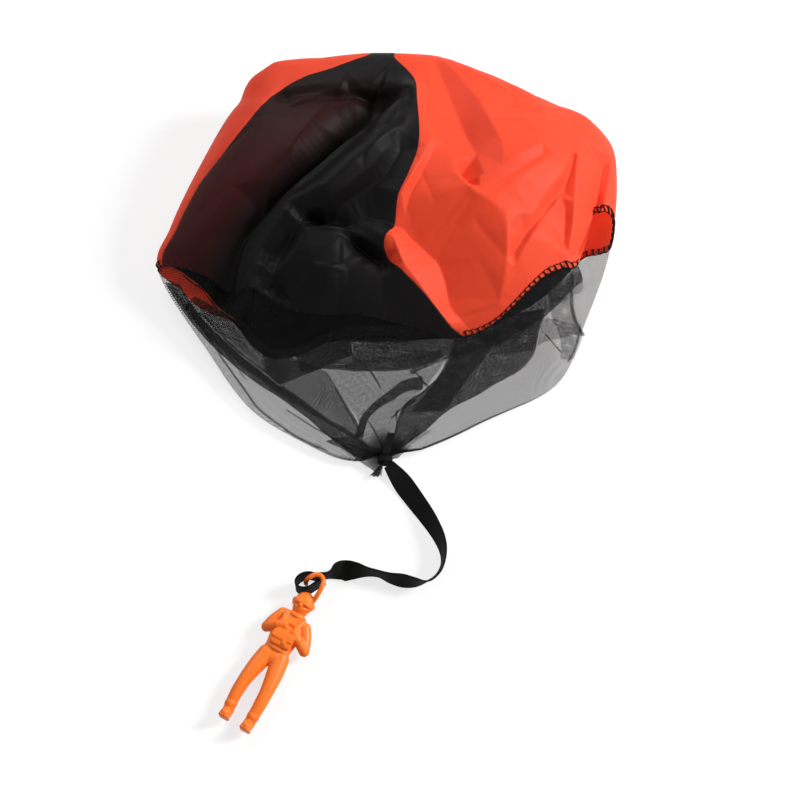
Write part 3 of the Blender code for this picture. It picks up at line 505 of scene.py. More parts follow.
# sharp creases of the upper cloth: places in millimetres over the table plane, and how far each lies
# above or below the soft folds
creases = {
    "step": 0.0005, "low": (-0.15, -0.12), "high": (0.15, 0.12), "seed": 7, "soften": 1, "spacing": 0.004,
    "least": 0.0025, "tries": 600, "spare": 0.014, "facetRise": 0.0005,
    # small stray creases: the space they lie in, half length, width, height and how far they turn from the
    # way to the crown
    "small": 34, "smallLow": (-0.12, -0.07), "smallHigh": (0.12, 0.09), "smallHalf": (0.006, 0.02),
    "smallWidth": 0.0025, "smallRise": 0.00045, "smallTurn": 0.5, "crown": 0.1,
    "blackRise": 1.15, "orangeRise": 1.4,
    "blackLines": (
        ((3, 50, -1), (-4, 44, -4), (-15, 38, -5), (-29, 27, -5.5), (-43, 13, -5.5), (-53, 5, -5.5),
         (-71, -14, -5), (-82, -26, -4), (-88, -37, -3.5), (-91, -49, -2)),
        ((6, 46, 2), (-1, 40, 4), (-12, 34, 5), (-26, 24, 5), (-40, 10, 5), (-50, 2, 4.5), (-68, -18, 4.5),
         (-79, -29, 4), (-85, -40, 3.5), (-88, -51, 2)),
        ((11, 44, 0.5), (8, 33, 1), (-2, 24, 1.5), (-14, 15, 2)),
        ((12, 40, 2.5), (10, 28, 3), (0, 18, 3.5), (-10, 9, 3)),
        ((9, 38, 1), (2, 13, 2.5), (-9, -1, 2.5), (-24, -14, 2.5), (-37, -22, 2.5)),
        ((7, 11, 0), (-1, -3, -2.5), (-12, -10, -3.5), (-23, -17, -4.5), (-30, -22, -4)),
        ((-5, 37, 1), (-9, 34, 0), (-13, 29, 2)),
        ((-46, -21, 1), (-43, -24, -7), (-38, -27, -7), (-31, -27, -4)),
        ((-50, -27, -1), (-55, -33, -6), (-59, -39, -6), (-63, -46, -3)),
        ((-46, -33, 2.5), (-51, -41, 2.5), (-55, -48, 2)),
        ((-72, -38, -1), (-67, -42, -4), (-68, -46, -3)),
        ((-79, -44, 2), (-73, -49, 1.5), (-66, -55, 1.5)),
        ((-76, -50, -1.5), (-66, -56, -4), (-60, -62, -4), (-55, -68, -1)),
        ((-84, -54, 2), (-75, -61, 2), (-67, -64, 1)),
        ((-43, -53, 3.5), (-37, -58, 4), (-29, -55, 3.5), (-35, -64, 2)),
        ((-26, -32, 2), (-18, -35, 2.5), (-9, -40, 3), (-2, -45, 2)),
        ((-24, -36, -1), (-17, -39, -6), (-10, -44, -6), (-4, -49, -3)),
        ((-20, -28, -2), (-12, -25, -5), (-3, -28, -3)),
        ((-25, -52, -1), (-21, -59, -2), (-27, -69, -1)),
        ((-58, 50, -1), (-46, 53, -2), (-30, 58, -3), (-19, 57, -2)),
        ((-23, 61, -1.5), (-12, 59, -3.5), (-1, 53, -2)),
        ((-6, 61, -1), (1, 57, -2), (8, 48, -1)),
        ((-52, 55, 1), (-34, 61, 1.5), (-17, 62, 1.5), (1, 61, 1)),
        ((-109, -24, 0.5), (-108, -45, 0.5)),
        ((-74, 43, 1), (-80, 23, 1), (-90, 2, 0.5)),
        ((-45, 38, 0.5), (-57, 19, 0.5), (-68, 2, 0))),
    # the orange gore's facets: an edge from the crown that turns into a ridge, and what hangs from it
    "orangeLines": (
        ((23, 86, 0), (24, 70, 0), (25, 53, -0.5), (29, 33, -1), (32, 18, -1.5), (36, 9, -0.5), (40, -3, 1.5),
         (48, -13, 4), (56, -19, 5.5), (66, -25, 7)),
        ((27, 85, -0.5), (32, 70, -2), (37, 53, -3), (42, 36, -4), (47, 22, -4), (51, 13, -2)),
        ((35, 15, -2.5), (38, 8, -5), (42, 0, -5), (47, -7, -1)),
        ((34, 82, 0.5), (44, 67, 1), (54, 49, 2), (61, 31, 2.5), (66, 19, 3)),
        ((16, 54, 0.5), (20, 33, 1), (25, 20, 1.5), (18, 4, 2), (8, -15, 1.5)),
        ((29, 20, 0), (22, 4, -1), (12, -15, -2), (8, -31, -4), (13, -36, -5), (29, -48, -6), (33, -59, -6),
         (35, -71, -5), (46, -81, -2)),
        ((3, -38, 2), (8, -52, 2.5), (19, -64, 1.5), (27, -74, 1), (37, -84, 0)),
        ((66, -25, 7), (68, -36, 7), (68, -46, 6), (66, -60, 4), (62, -73, 0.5)),
        ((56, -19, 5.5), (67, -11, 5), (78, -1, 5), (92, 12, 4), (107, 27, 2)),
        ((52, -11, 3), (64, -6, 3), (76, 3, 3), (90, 15, 2.5)),
        ((48, -8, 3), (61, 0, 4), (75, 9, 5), (89, 21, 4), (101, 31, 2.5)),
        ((66, -25, 7), (74, -24, 6), (83, -24, 5), (88, -13, 4.5), (99, 2, 4), (107, 21, 2)),
        ((83, -28, 2.5), (86, -22, 1), (94, -11, -0.5), (103, 3, -1), (108, 18, 0)),
        ((82, -28, 2.5), (77, -36, 2.5), (71, -45, 3), (66, -58, 2), (62, -70, 0)),
        ((86, -29, 5), (81, -37, 5.5), (75, -46, 5), (70, -60, 3)),
        ((90, -21, 1), (97, -11, 1), (102, -3, -1), (102, -20, -1.5), (101, -33, -1)),
        ((111, 28, 2), (109, 5, 2.5), (107, -20, 2), (104, -38, 1)),
        ((118, 53, 3), (111, 28, 2)),
        ((88, -30, 4), (95, -36, 3), (103, -41, 1)),
        ((126, 20, -2), (121, -6, -3), (114, -24, -3), (109, -36, -1.5)),
        ((132, 27, 1.5), (129, 8, 2), (124, -12, 2), (118, -28, 1.5)),
        ((42, 82, 0.5), (60, 75, 1), (78, 65, 1), (98, 54, 1)),
        ((85, 38, 2.5), (95, 46, 1.5)))}


def meridian(which, station):
    # one line from crown to gather, from its shares of the sizes
    across, back, up = np.moveaxis(smoothThrough(cloth["stations"], cloth[which], station), -1, 0)
    ahead = cloth["crownAhead"] - back * cloth["reach"]
    return np.stack([across * cloth["halfWidth"], ahead, up * cloth["height"]], axis=-1)


def distanceToLine(x, y, points):
    # square to the nearest part of the line, or to its end
    least = np.full(np.shape(x), np.inf)
    for (ax, ay), (bx, by) in zip(points[:-1], points[1:]):
        along = ((x - ax) * (bx - ax) + (y - ay) * (by - ay)) / ((bx - ax)**2 + (by - ay)**2)
        along = np.clip(along, 0, 1)
        least = np.minimum(least, np.hypot(x - ax - along * (bx - ax), y - ay - along * (by - ay)))
    return least


def foldHeight(x, y):
    # each wide fold is a bell across its line
    height = np.zeros(np.shape(x))
    for shares, rise, width in cloth["folds"]:
        line = [(across * cloth["halfWidth"], cloth["crownAhead"] - back * cloth["reach"])
                for across, back in shares]
        away = distanceToLine(x, y, line) / (width * cloth["halfWidth"])
        height += rise * cloth["height"] * np.exp(-away**2)
    return height


def softened(field, times):
    # half of each point and a quarter of both its neighbours, along the columns and then the rows
    for _ in range(times):
        for axis in (0, 1):
            field = (np.roll(field, 1, axis) + 2 * field + np.roll(field, -1, axis)) / 4
    return field


def creaseMap():
    # flat facets between the crease lines: the lines' points and some seeded points are joined into
    # triangles, and the height runs straight across each triangle
    chosen = np.random.default_rng(creases["seed"])
    points = []
    for kind in ("black", "orange"):
        for line in creases[kind + "Lines"]:
            line = np.array(line, float) / perMetre * (1, 1, creases[kind + "Rise"])
            run = runAlong(line[:, :2])
            count = max(2, int(run[-1] / creases["spacing"]) + 1)
            points.append(readLine(np.linspace(0, run[-1], count), run, line))
    points = np.concatenate(points)
    apart = np.linalg.norm(points[:, None, :2] - points[None, :, :2], axis=2) < creases["least"]
    points = points[~np.tril(apart, -1).any(axis=1)]
    low, high = np.array(creases["low"]), np.array(creases["high"])
    kept = []
    for place in chosen.uniform(low, high, (creases["tries"], 2)):
        known = np.concatenate([points[:, :2], np.array(kept).reshape(-1, 3)[:, :2]])
        if np.linalg.norm(known - place, axis=1).min() > creases["spare"]:
            kept.append((*place, chosen.normal(0, creases["facetRise"])))
    corners = [(low[0], low[1], 0), (high[0], low[1], 0), (high[0], high[1], 0), (low[0], high[1], 0)]
    points = np.concatenate([points, kept, corners])
    joined = delaunay_2d_cdt([tuple(place[:2]) for place in points], [], [], 0, 1e-9)
    places = np.array([tuple(place) for place in joined[0]])
    heights = np.array([points[source[0], 2] for source in joined[3]])
    across = np.arange(low[0], high[0] + 1e-9, creases["step"])
    ahead = np.arange(low[1], high[1] + 1e-9, creases["step"])
    x, y = np.meshgrid(across, ahead)
    height = np.zeros(x.shape)
    for triangle in joined[2]:
        a, b, c = corners = places[list(triangle)]
        first, second, third = heights[list(triangle)]
        start, end = corners.min(axis=0) - slack, corners.max(axis=0) + slack
        columns = slice(*np.searchsorted(across, (start[0], end[0])))
        rows = slice(*np.searchsorted(ahead, (start[1], end[1])))
        px, py = x[rows, columns], y[rows, columns]
        area = (b[0] - a[0]) * (c[1] - a[1]) - (c[0] - a[0]) * (b[1] - a[1])
        if abs(area) < 1e-12 or px.size == 0:
            continue
        toB = ((px - a[0]) * (c[1] - a[1]) - (c[0] - a[0]) * (py - a[1])) / area
        toC = ((b[0] - a[0]) * (py - a[1]) - (px - a[0]) * (b[1] - a[1])) / area
        inside = (toB >= -slack) & (toC >= -slack) & (toB + toC <= 1 + slack)
        facet = first + toB * (second - first) + toC * (third - first)
        height[rows, columns] = np.where(inside, facet, height[rows, columns])
    # small stray creases: a cusp across a short line
    for _ in range(creases["small"]):
        middle = chosen.uniform(creases["smallLow"], creases["smallHigh"])
        heading = math.atan2(middle[1] - creases["crown"], middle[0]) + chosen.normal(0, creases["smallTurn"])
        half = chosen.uniform(*creases["smallHalf"]) * np.array([math.cos(heading), math.sin(heading)])
        away = distanceToLine(x, y, [middle - half, middle + half])
        height += chosen.normal(0, creases["smallRise"]) * np.exp(-away / creases["smallWidth"])
    return softened(height, creases["soften"])


creaseField = creaseMap()


def readMap(field, low, step, x, y):
    # value between the map's four nearest points
    across = np.clip((x - low[0]) / step, 0, field.shape[1] - 1.001)
    ahead = np.clip((y - low[1]) / step, 0, field.shape[0] - 1.001)
    column, row = across.astype(int), ahead.astype(int)
    right, up = across - column, ahead - row
    lower = field[row, column] * (1 - right) + field[row, column + 1] * right
    upper = field[row + 1, column] * (1 - right) + field[row + 1, column + 1] * right
    return lower * (1 - up) + upper * up


def creaseHeight(x, y):
    # the crease map's height over a place on the table plane
    return readMap(creaseField, creases["low"], creases["step"], x, y)


def clothPlace(angle, station, creased=0.0):
    # loop through four meridians: cosine carries right to left, sine top to bottom, and the squared
    # sine brings it to the top and bottom lines; then folds, creases, pleats and the table
    angle, station = np.broadcast_arrays(np.asarray(angle, float), np.asarray(station, float))
    turn = np.radians(angle)
    cosine, sine = np.cos(turn)[..., None], np.sin(turn)[..., None]
    right, top, left, bottom = (meridian(which, station) for which in ("right", "top", "left", "bottom"))
    middle = (right + left) / 2
    place = middle + (right - left) / 2 * cosine + (top - bottom) / 2 * sine
    place = place + ((top + bottom) / 2 - middle) * sine**2
    trim = np.interp(place[..., 0], cloth["trimPlaces"], cloth["trimShares"])
    trim = trim * ramp(place[..., 1], *cloth["trimAhead"])
    droop = cosine[..., 0]**2 * between(station, *cloth["droopStations"])
    place[..., 1] -= cloth["trimDepth"] * trim + cloth["sideDroop"] * droop
    upper = ramp(sine[..., 0], *cloth["upperSines"])
    x, y = place[..., 0], place[..., 1]
    rise = foldHeight(x, y) + creased * creaseHeight(x, y)
    place[..., 2] += rise * upper * between(station, *cloth["creasedStations"])
    pleats = cloth["pleatDepth"] * np.cos(turn * cloth["pleats"]) * between(station, *cloth["pleatStations"])
    place[..., 2] += pleats * np.clip(sine[..., 0], 0, 1)**2
    height, bend = place[..., 2], cloth["tableBend"]
    eased = np.where(height < -bend, 0, (height + bend)**2 / (4 * bend))
    place[..., 2] = np.where(height > bend, height, eased)
    return place


def hemStation(angle):
    # station at which the nylon ends and the net begins
    return roundTrip(cloth["hemDegrees"], cloth["hemStations"], angle)


def seamAngle(seam, way):
    # a seam's angle at a share of the way from crown to hem
    return smoothThrough(*cloth["seams"][seam], way)


def inward(angle, station, creased=0.0):
    # unit direction into the sack, square to the cloth
    degrees, stations = cloth["probe"]
    aside = clothPlace(angle + degrees, station, creased) - clothPlace(angle - degrees, station, creased)
    down = clothPlace(angle, station + stations, creased) - clothPlace(angle, station - stations, creased)
    return unit(np.cross(down, aside))


def goreSpan(gore, way):
    # angles of the gore's two seams, the second always past the first
    first, second = gores[gore]
    start, end = seamAngle(first, way), seamAngle(second, way)
    return start, np.where(end < start, end + 360, end)


# sewn edges of the nylon: pitch, reach from the edge and height of the puckers, reach and depth of the dip
# at a seam, and the ways over which both come in at the crown
sewn = {"seamPucker": (0.0052, 0.003, 0.00006), "hemPucker": (0.0058, 0.004, 0.00014), "dip": (0.0009, 0.0003),
        "ways": (0.01, 0.08), "crowding": 0.09, "stations": (0.01, 1.9)}


def makeGore(name, material, rows, columns, amount, wall):
    # rows run from crown to hem, columns from seam to seam; both edges pucker where they are sewn
    ways = np.linspace(0, 1, rows)[:, None]
    step = np.linspace(0, 1, columns)
    shares = (step - sewn["crowding"] * np.sin(2 * math.pi * step))[None]
    start, end = goreSpan(name, ways)
    angles = start + (end - start) * shares
    stations = hemStation(angles) * ways
    grid = clothPlace(angles, stations, 1.0)
    uv = surfaceUv(grid)
    across, along = uv[..., 0], uv[..., 1]
    length = along[-1].mean()
    fromSeam = np.minimum(across, across[:, -1:] - across)
    fromHem = along[-1:] - along
    pitch, reach, height = sewn["seamPucker"]
    pucker = np.sin(ways * length * 2 * math.pi / pitch) * np.exp(-fromSeam / reach) * height
    pitch, reach, height = sewn["hemPucker"]
    pucker += np.sin(across * 2 * math.pi / pitch) * np.exp(-fromHem / reach) * height
    reach, depth = sewn["dip"]
    shift = (pucker - np.exp(-fromSeam / reach) * depth) * ramp(ways, *sewn["ways"])
    grid = grid - inward(angles, np.clip(stations, *sewn["stations"])) * shift[..., None]
    grid[..., 2] = np.maximum(grid[..., 2], cloth["nylonWall"])
    piece = surfacePiece(name.replace("gore", "nylon"), [grid], material, [uv], [amount(grid)], wall)
    print(name, "cloth area", round(clothArea(grid), 4), "length", round(float(length), 3),
          "hem", round(float(across[-1, -1]), 3))
    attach(piece, "canopy")
    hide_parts(name)
    return piece


def noPaintedGlow(grid):
    # no painted glow anywhere
    return np.zeros(grid.shape[:2])


# the painted glow's edge, places across at places ahead, and the widths over which it fades there and at the
# far
#  side of the crown
paintedGlow = {"ahead": (-0.06, -0.038, -0.017, 0.012, 0.034, 0.053, 0.06),
        "across": (-0.091, -0.086, -0.069, -0.041, -0.014, 0.009, 0.012), "fade": (0.003, 0.045),
        "farSide": 0.085, "farFade": (0, 0.08)}


def paintedGlowLeft(grid):
    # painted glow: the black cloth left of the long roll gets the maroon of light from the orange gore below
    # coming through it, fading out at the roll and towards the far side of the crown
    x, y = grid[..., 0], grid[..., 1]
    side = np.interp(y, paintedGlow["ahead"], paintedGlow["across"])
    return ramp(side - x, *paintedGlow["fade"]) * ramp(paintedGlow["farSide"] - y, *paintedGlow["farFade"])


plan = {"step": 0.001, "low": (-0.15, -0.17), "high": (0.15, 0.03), "closing": 14, "soften": 2,
        "degrees": (1, 180, 0.4), "stations": (0.8, 2.0, 0.0025)}


def topMap():
    # height of the cloth's upper side over the table plane: the highest of many points in each square
    # millimetre, and empty squares take the mean of their filled neighbours
    angles, stations = np.meshgrid(np.arange(*plan["degrees"]), np.arange(*plan["stations"]))
    places = clothPlace(angles, stations, 1.0).reshape(-1, 3)
    low = np.array(plan["low"])
    columns, rows = np.round((np.array(plan["high"]) - low) / plan["step"]).astype(int) + 1
    column, row = np.round((places[:, :2] - low) / plan["step"]).astype(int).T
    kept = (row >= 0) & (row < rows) & (column >= 0) & (column < columns)
    field = np.zeros((rows, columns))
    np.maximum.at(field, (row[kept], column[kept]), places[kept, 2])
    for _ in range(plan["closing"]):
        filled = (field > 0).astype(float)
        around, number = (sum(np.roll(each, shift, axis) for axis in (0, 1) for shift in (-1, 1))
                          for each in (field, filled))
        field = np.where(filled > 0, field, around / np.maximum(number, 1))
    return softened(field, plan["soften"])


topField = topMap()

# cloth in layers: shares by which each turn ends early, distances from layer to layer, a ripple, the least
# height over the table, and degrees by which the weave turns: at first, with each layer and with each seed
layering = {"early": 0.05, "apart": 0.0004, "ripple": 0.0002, "waves": 40, "least": 0.0003,
            "leastApart": 0.00004, "lean": (12, 19, 31)}


def underTop(outer, inner, depth, layers=1, rows=80, columns=16, sag=0.0, seed=1):
    # cloth under the top, between two lines over the table plane in millimetres: over from one line to
    # the other and back below, as often as there are layers; each turn ends a little earlier or later
    chosen = np.random.default_rng(seed)
    outer, inner = (alongRoute(np.array(line, float) / perMetre, rows)[:, None] for line in (outer, inner))
    turn = np.linspace(0, layers * math.pi, layers * columns + 1)
    ends = chosen.uniform(0, layering["early"], layers + 1) * (layers > 1)
    ends = np.interp(turn / math.pi, np.arange(layers + 1), ends)
    share = ((1 - np.cos(turn)) / 2 * (1 - 2 * ends) + ends)[None, :, None]
    x, y = np.moveaxis(outer * (1 - share) + inner * share, -1, 0)
    along = np.linspace(0, 1, rows)[:, None]
    down = depth + sag * np.sin(share[..., 0] * math.pi) + layering["apart"] * turn[None] / math.pi
    down = down + layering["ripple"] * np.sin(along * layering["waves"] + turn[None] * 2)
    least = layering["least"] + layering["leastApart"] * turn[None]
    height = np.maximum(readMap(topField, plan["low"], plan["step"], x, y) - down, least)
    first, each, other = layering["lean"]
    lean = np.radians(first + each * np.floor(turn / math.pi - slack) + other * seed)[None]
    return np.stack([x, y, height], axis=-1), turnedUv(x, y, lean)


lip = {
    "depth": 0.0009, "sag": 0.002,
    # both edges over the table plane, in millimetres
    "hem": ((-134, -30), (-127, -32), (-116, -37), (-101, -43), (-83, -52), (-62, -63), (-39, -71), (-16, -72),
            (6, -77), (27, -81), (46, -79)),
    "edge": ((-134, -31), (-129, -34), (-122, -39), (-115, -46), (-108, -51), (-102, -58), (-86, -76),
             (-76, -87), (-66, -93), (-50, -92), (-37, -88), (-24, -87), (1, -87), (28, -87), (46, -85))}

redLip = {
    "depth": 0.0013, "sag": 0.001,
    "hem": ((-134, -30), (-129, -33), (-122, -38), (-115, -44), (-108, -50), (-102, -56), (-92, -67),
            (-86, -74)),
    "edge": ((-134, -36), (-127, -42), (-121, -48), (-115, -55), (-109, -60), (-102, -64), (-92, -70),
             (-86, -76))}


def makeLip(name, line, material):
    # a gore's edge falls inwards under the net
    grid, uv = underTop(line["hem"], line["edge"], line["depth"], rows=160, columns=24, sag=line["sag"])
    piece = surfacePiece(name, [grid], material, [uv], [noPaintedGlow(grid)])
    print(name, "cloth area", round(clothArea(grid), 4))
    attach(piece, "canopy")
    return piece


# material, rows, columns, painted glow, slot and wall of each gore
goreLooks = {"gore_front_black": (blackNylon, 300, 290, paintedGlowLeft, "black_nylon", 0),
             "gore_left_orange": (orangeNylon, 130, 90, noPaintedGlow, "orange_nylon", 0),
             "gore_back_black": (blackNylon, 110, 90, noPaintedGlow, "black_nylon", cloth["nylonWall"]),
             "gore_right_orange": (orangeNylon, 300, 290, noPaintedGlow, "orange_nylon", 0)}
for goreName, (material, rows, columns, amount, slotName, wall) in goreLooks.items():
    makeGore(goreName, material, rows, columns, amount, wall)
# the front lip takes the darker nylon as painted shade
blackLip = makeLip("nylon_front_lip", lip, shadedNylon)
orangeLip = makeLip("nylon_left_lip", redLip, orangeNylon)
print("stage 4: nylon gores")

# overlocked hems and seam allowances
overlock = {
    "pitch": 0.0039, "depth": 0.0037, "rise": 0.0005, "tuck": 0.0013, "lean": 0.0013, "turnSteps": 12,
    "thread": 0.00045, "chain": 0.00035, "needle": 0.00026, "around": 6, "clear": 0.0001, "samples": 300,
    "inStation": -0.01,
    # the loops and the chain lie off the edge, and the needle's line lies in the cloth
    "loopOut": 0.0003, "chainOut": 0.0004, "chainWave": 0.00012, "needleIn": 0.93, "needleWave": 0.07,
    "needleRise": 0.00025, "notchFold": (29.5, 35.5)}


def evenAlong(angles, stations):
    # the same edge in even steps, each a share of a stitch, with the stitch's turn at each step
    run = runAlong(clothPlace(angles, stations, 1.0))
    even = np.linspace(0, run[-1], int(run[-1] / (overlock["pitch"] / overlock["turnSteps"])))
    turn = (even / overlock["pitch"] * 2 * math.pi)[:, None]
    return np.interp(even, run, angles), np.interp(even, run, stations), np.cos(turn), np.sin(turn)


def stitchGrids(angles, stations, under):
    # thread wound round the edge: a helix flattened on the cloth, a chain along the edge itself and the
    # needle's straighter line beside it
    angles, stations, cosine, sine = evenAlong(angles, stations)
    places = clothPlace(angles, stations, 1.0)
    into = unit(clothPlace(angles, stations + overlock["inStation"], 1.0) - places)
    off = -inward(angles, stations, 1.0)
    places = places - off * (overlock["tuck"] if under else 0)
    path = places + into * (overlock["depth"] * (1 - cosine) / 2 - overlock["loopOut"]) \
        + off * (overlock["rise"] * sine) + headings(places) * (overlock["lean"] * (1 - cosine) / 2)
    chain = places - into * (overlock["chainOut"] + overlock["chainWave"] * sine)
    reach = overlock["depth"] * (overlock["needleIn"] - overlock["needleWave"] * cosine)
    needle = places + into * reach + off * overlock["needleRise"]
    for line in (path, chain):
        line[:, 2] = np.maximum(line[:, 2], overlock["thread"] + overlock["clear"])
    return [tubeGrid(line, overlock[thread], overlock["around"])
            for line, thread in ((path, "thread"), (chain, "chain"), (needle, "needle"))]


def makeHem(gore):
    # on the front gore the edge is folded under, and on the right one no thread shows in the notch's fold
    start, end = goreSpan(gore, 1.0)
    first, last = (360 + degrees for degrees in overlock["notchFold"])
    spans = [(start, first), (last, end)] if gore == "gore_right_orange" else [(start, end)]
    grids = []
    for span in spans:
        angles = np.linspace(*span, overlock["samples"])
        grids += stitchGrids(angles, hemStation(angles), gore == "gore_front_black")
    piece = surfacePiece(gore.replace("gore", "overlock"), grids, blackThread)
    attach(piece, "canopy")
    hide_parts(gore.replace("gore", "hem"))
    return piece


allowance = {"ways": (0.04, 0.985), "samples": 400, "depth": 0.0019, "wave": 0.0011, "aside": 0.0006,
             "foldDepth": 0.0014, "fold": 0.0007, "least": 0.0006}


def makeSeam(seam):
    # allowance inside the canopy: a narrow sewn ridge under the seam, wound with thread
    ways = np.linspace(*allowance["ways"], allowance["samples"])
    angles = seamAngle(seam, ways)
    angles, stations, cosine, sine = evenAlong(angles, ways * hemStation(angles))
    places = clothPlace(angles, stations, 1.0)
    down = inward(angles, stations)
    aside = np.cross(headings(places), down)
    path = places + down * (allowance["depth"] - allowance["wave"] * cosine) \
        + aside * (allowance["aside"] * sine)
    fold = places + down * allowance["foldDepth"]
    for line in (path, fold):
        line[:, 2] = np.maximum(line[:, 2], allowance["least"])
    grids = [tubeGrid(path, overlock["thread"], overlock["around"]),
             tubeGrid(fold, allowance["fold"], overlock["around"])]
    piece = surfacePiece("allowance_" + seam, grids, blackThread)
    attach(piece, "canopy")
    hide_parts("seam_" + seam)
    return piece


hemPieces = {gore: makeHem(gore) for gore in gores}
seamPieces = {seam: makeSeam(seam) for seam in cloth["seams"]}
print("stage 5: overlocked edges")

# tulle skirt: the sack from hem to gather, and the folds of spare cloth that lie under its top
skirt = {
    "rows": 110, "columns": 240, "depth": 0.0012, "foldVeil": 0.13, "layeredVeil": 0.24, "bunched": 0.8,
    "bunchedReach": (0.004, 0.017), "gather": (-0.0016, -0.1468), "netStart": 0.985, "overlap": 0.006,
    "openDegrees": (-6, 36), "least": 0.0002, "stations": (0.1, 1.99),
    # where each half starts and by how many degrees its net is turned
    "halves": ((0, 5), (180, -23)),
    # ripple's height, the stations over which it comes in, its waves and how they are uneven
    "ripple": 0.0006, "rippleStations": (1.3, 1.9), "rippleWaves": 34, "uneven": 3, "unevenWaves": 5,
    # first seeds of the folds and of the narrow folds, and the narrow folds' rows and columns
    "foldSeed": 2, "lineSeed": 40, "lineRows": 50, "lineColumns": 6,
    # folds of spare net: two lines over the table plane in millimetres, and how many layers lie between
    "folds": (
        # left band along the edge, and what lies between it and the middle
        (((-132, -40), (-124, -53), (-113, -68), (-103, -80), (-94, -89), (-75, -105), (-61, -115),
          (-48, -125), (-30, -140), (-15, -149), (-7, -148)),
         ((-122, -45), (-108, -65), (-97, -77), (-82, -91), (-71, -100), (-62, -108), (-49, -117), (-35, -127),
          (-19, -136), (-8, -145), (-5, -147)), 3),
        (((-120, -57), (-111, -68), (-100, -80), (-85, -94), (-74, -103), (-64, -111), (-51, -120),
          (-36, -129), (-20, -138), (-9, -147), (-5, -149)),
         ((-113, -53), (-100, -60), (-85, -72), (-66, -88), (-52, -94), (-42, -98), (-35, -101), (-30, -108),
          (-24, -118), (-18, -127), (-14, -138), (-5, -147)), 2),
        (((-114, -60), (-104, -68), (-94, -78), (-81, -89), (-70, -99), (-60, -107)),
         ((-104, -58), (-96, -64), (-84, -74), (-72, -86), (-62, -94), (-54, -100)), 1),
        # across the top of the middle
        (((-50, -101), (-43, -100), (-35, -100), (-15, -103), (6, -102), (24, -97), (38, -91)),
         ((-54, -88), (-46, -86), (-36, -83), (-22, -81), (2, -81), (28, -82), (44, -80)), 3),
        (((-70, -100), (-62, -107), (-49, -103), (-34, -98), (-20, -94)),
         ((-72, -88), (-60, -88), (-48, -87), (-36, -86), (-22, -85)), 2),
        (((-20, -98), (0, -98), (22, -95), (36, -90)), ((-20, -84), (2, -84), (26, -84), (42, -82)), 1),
        # one layer all over the middle
        (((-38, -100), (-32, -106), (-25, -117), (-18, -126), (-14, -138), (-6, -147)),
         ((40, -90), (33, -96), (26, -104), (18, -112), (8, -124), (0, -147)), 1),
        # right of the middle: the broad band and the dark one in it
        (((40, -83), (35, -92), (29, -102), (20, -110), (8, -119), (4, -131), (1, -146)),
         ((92, -66), (88, -76), (85, -87), (79, -95), (71, -101), (61, -107), (52, -113), (34, -123),
          (22, -133), (4, -146)), 3),
        (((38, -85), (34, -92), (29, -102), (22, -111), (12, -122)),
         ((66, -80), (60, -87), (54, -96), (48, -102), (41, -112), (32, -123)), 2),
        # the loop
        (((20, -103), (9, -106), (0, -113), (-9, -120), (-15, -126), (-19, -137)),
         ((20, -110), (10, -112), (3, -117), (-5, -122), (-11, -128), (-14, -137)), 3),
        # under the right hem
        (((47, -84), (64, -73), (81, -61), (98, -49), (110, -42)),
         ((62, -88), (76, -79), (91, -70), (104, -58), (113, -49)), 2),
        (((72, -70), (88, -60), (101, -52), (112, -45)), ((74, -77), (90, -68), (103, -60), (113, -53)), 1),
        (((60, -78), (76, -74), (92, -70), (112, -69)), ((58, -92), (76, -88), (95, -80), (114, -73)), 1),
        (((92, -60), (94, -68), (99, -76), (100, -90)), ((104, -50), (107, -62), (113, -72), (108, -88)), 1),
        # the net gathered on both sides of the knot
        (((-36, -139), (-26, -144), (-17, -150), (-10, -155), (-7, -157)),
         ((-22, -137), (-13, -142), (-6, -147), (-3, -151), (-3, -156)), 2),
        (((26, -133), (18, -138), (11, -144), (6, -149)), ((14, -133), (8, -139), (4, -144), (1, -150)), 1)),
    # narrow doubled folds: a line over the table plane in millimetres, and a width
    "lines": (
        (((5, -122), (5, -131), (2, -143)), 0.0011),
        (((-11, -129), (-8, -134), (-2, -145)), 0.0009),
        (((-29, -90), (-19, -96), (-9, -104), (-4, -112)), 0.0011),
        (((-62, -108), (-49, -117), (-35, -127), (-19, -136), (-8, -146)), 0.0015),
        (((-108, -63), (-97, -76), (-82, -90), (-71, -99), (-62, -107)), 0.0011),
        (((13, -102), (24, -97), (37, -93), (49, -90), (64, -83)), 0.0028),
        (((15, -101), (22, -108), (31, -119)), 0.0011),
        (((16, -116), (8, -121), (2, -127)), 0.0010),
        (((91, -78), (100, -86)), 0.0009),
        (((112, -68), (109, -81), (104, -91)), 0.0009),
        (((106, -48), (106, -58), (109, -68), (114, -74)), 0.0026),
        (((84, -62), (80, -74), (70, -86)), 0.0012),
        (((86, -79), (84, -88), (79, -95), (71, -101)), 0.0009),
        (((-125, -48), (-115, -60), (-107, -72), (-99, -84), (-93, -93), (-83, -107), (-75, -118), (-63, -128),
          (-48, -138), (-35, -144)), 0.0011),
        (((-128, -44), (-118, -58), (-109, -70), (-101, -79)), 0.0009),
        (((-120, -50), (-111, -64), (-101, -77), (-90, -91), (-82, -102)), 0.0008),
        (((-58, -121), (-40, -133), (-22, -142), (-8, -147)), 0.0008),
        (((-30, -110), (-22, -124), (-12, -140)), 0.0008))}


def netStart(angles):
    # the net begins at the hem, and keeps clear of the notch at the right
    turned = np.mod(angles + 180, 360) - 180
    notch = (turned > skirt["openDegrees"][0]) & (turned < skirt["openDegrees"][1])
    hem = hemStation(angles)
    return np.where(notch, np.maximum(hem, skirt["netStart"]), hem) - skirt["overlap"]


def bunching(grid):
    # the net closes up at the gather
    away = np.hypot(grid[..., 0] - skirt["gather"][0], grid[..., 1] - skirt["gather"][1])
    return skirt["bunched"] * (1 - ramp(away, *skirt["bunchedReach"]))


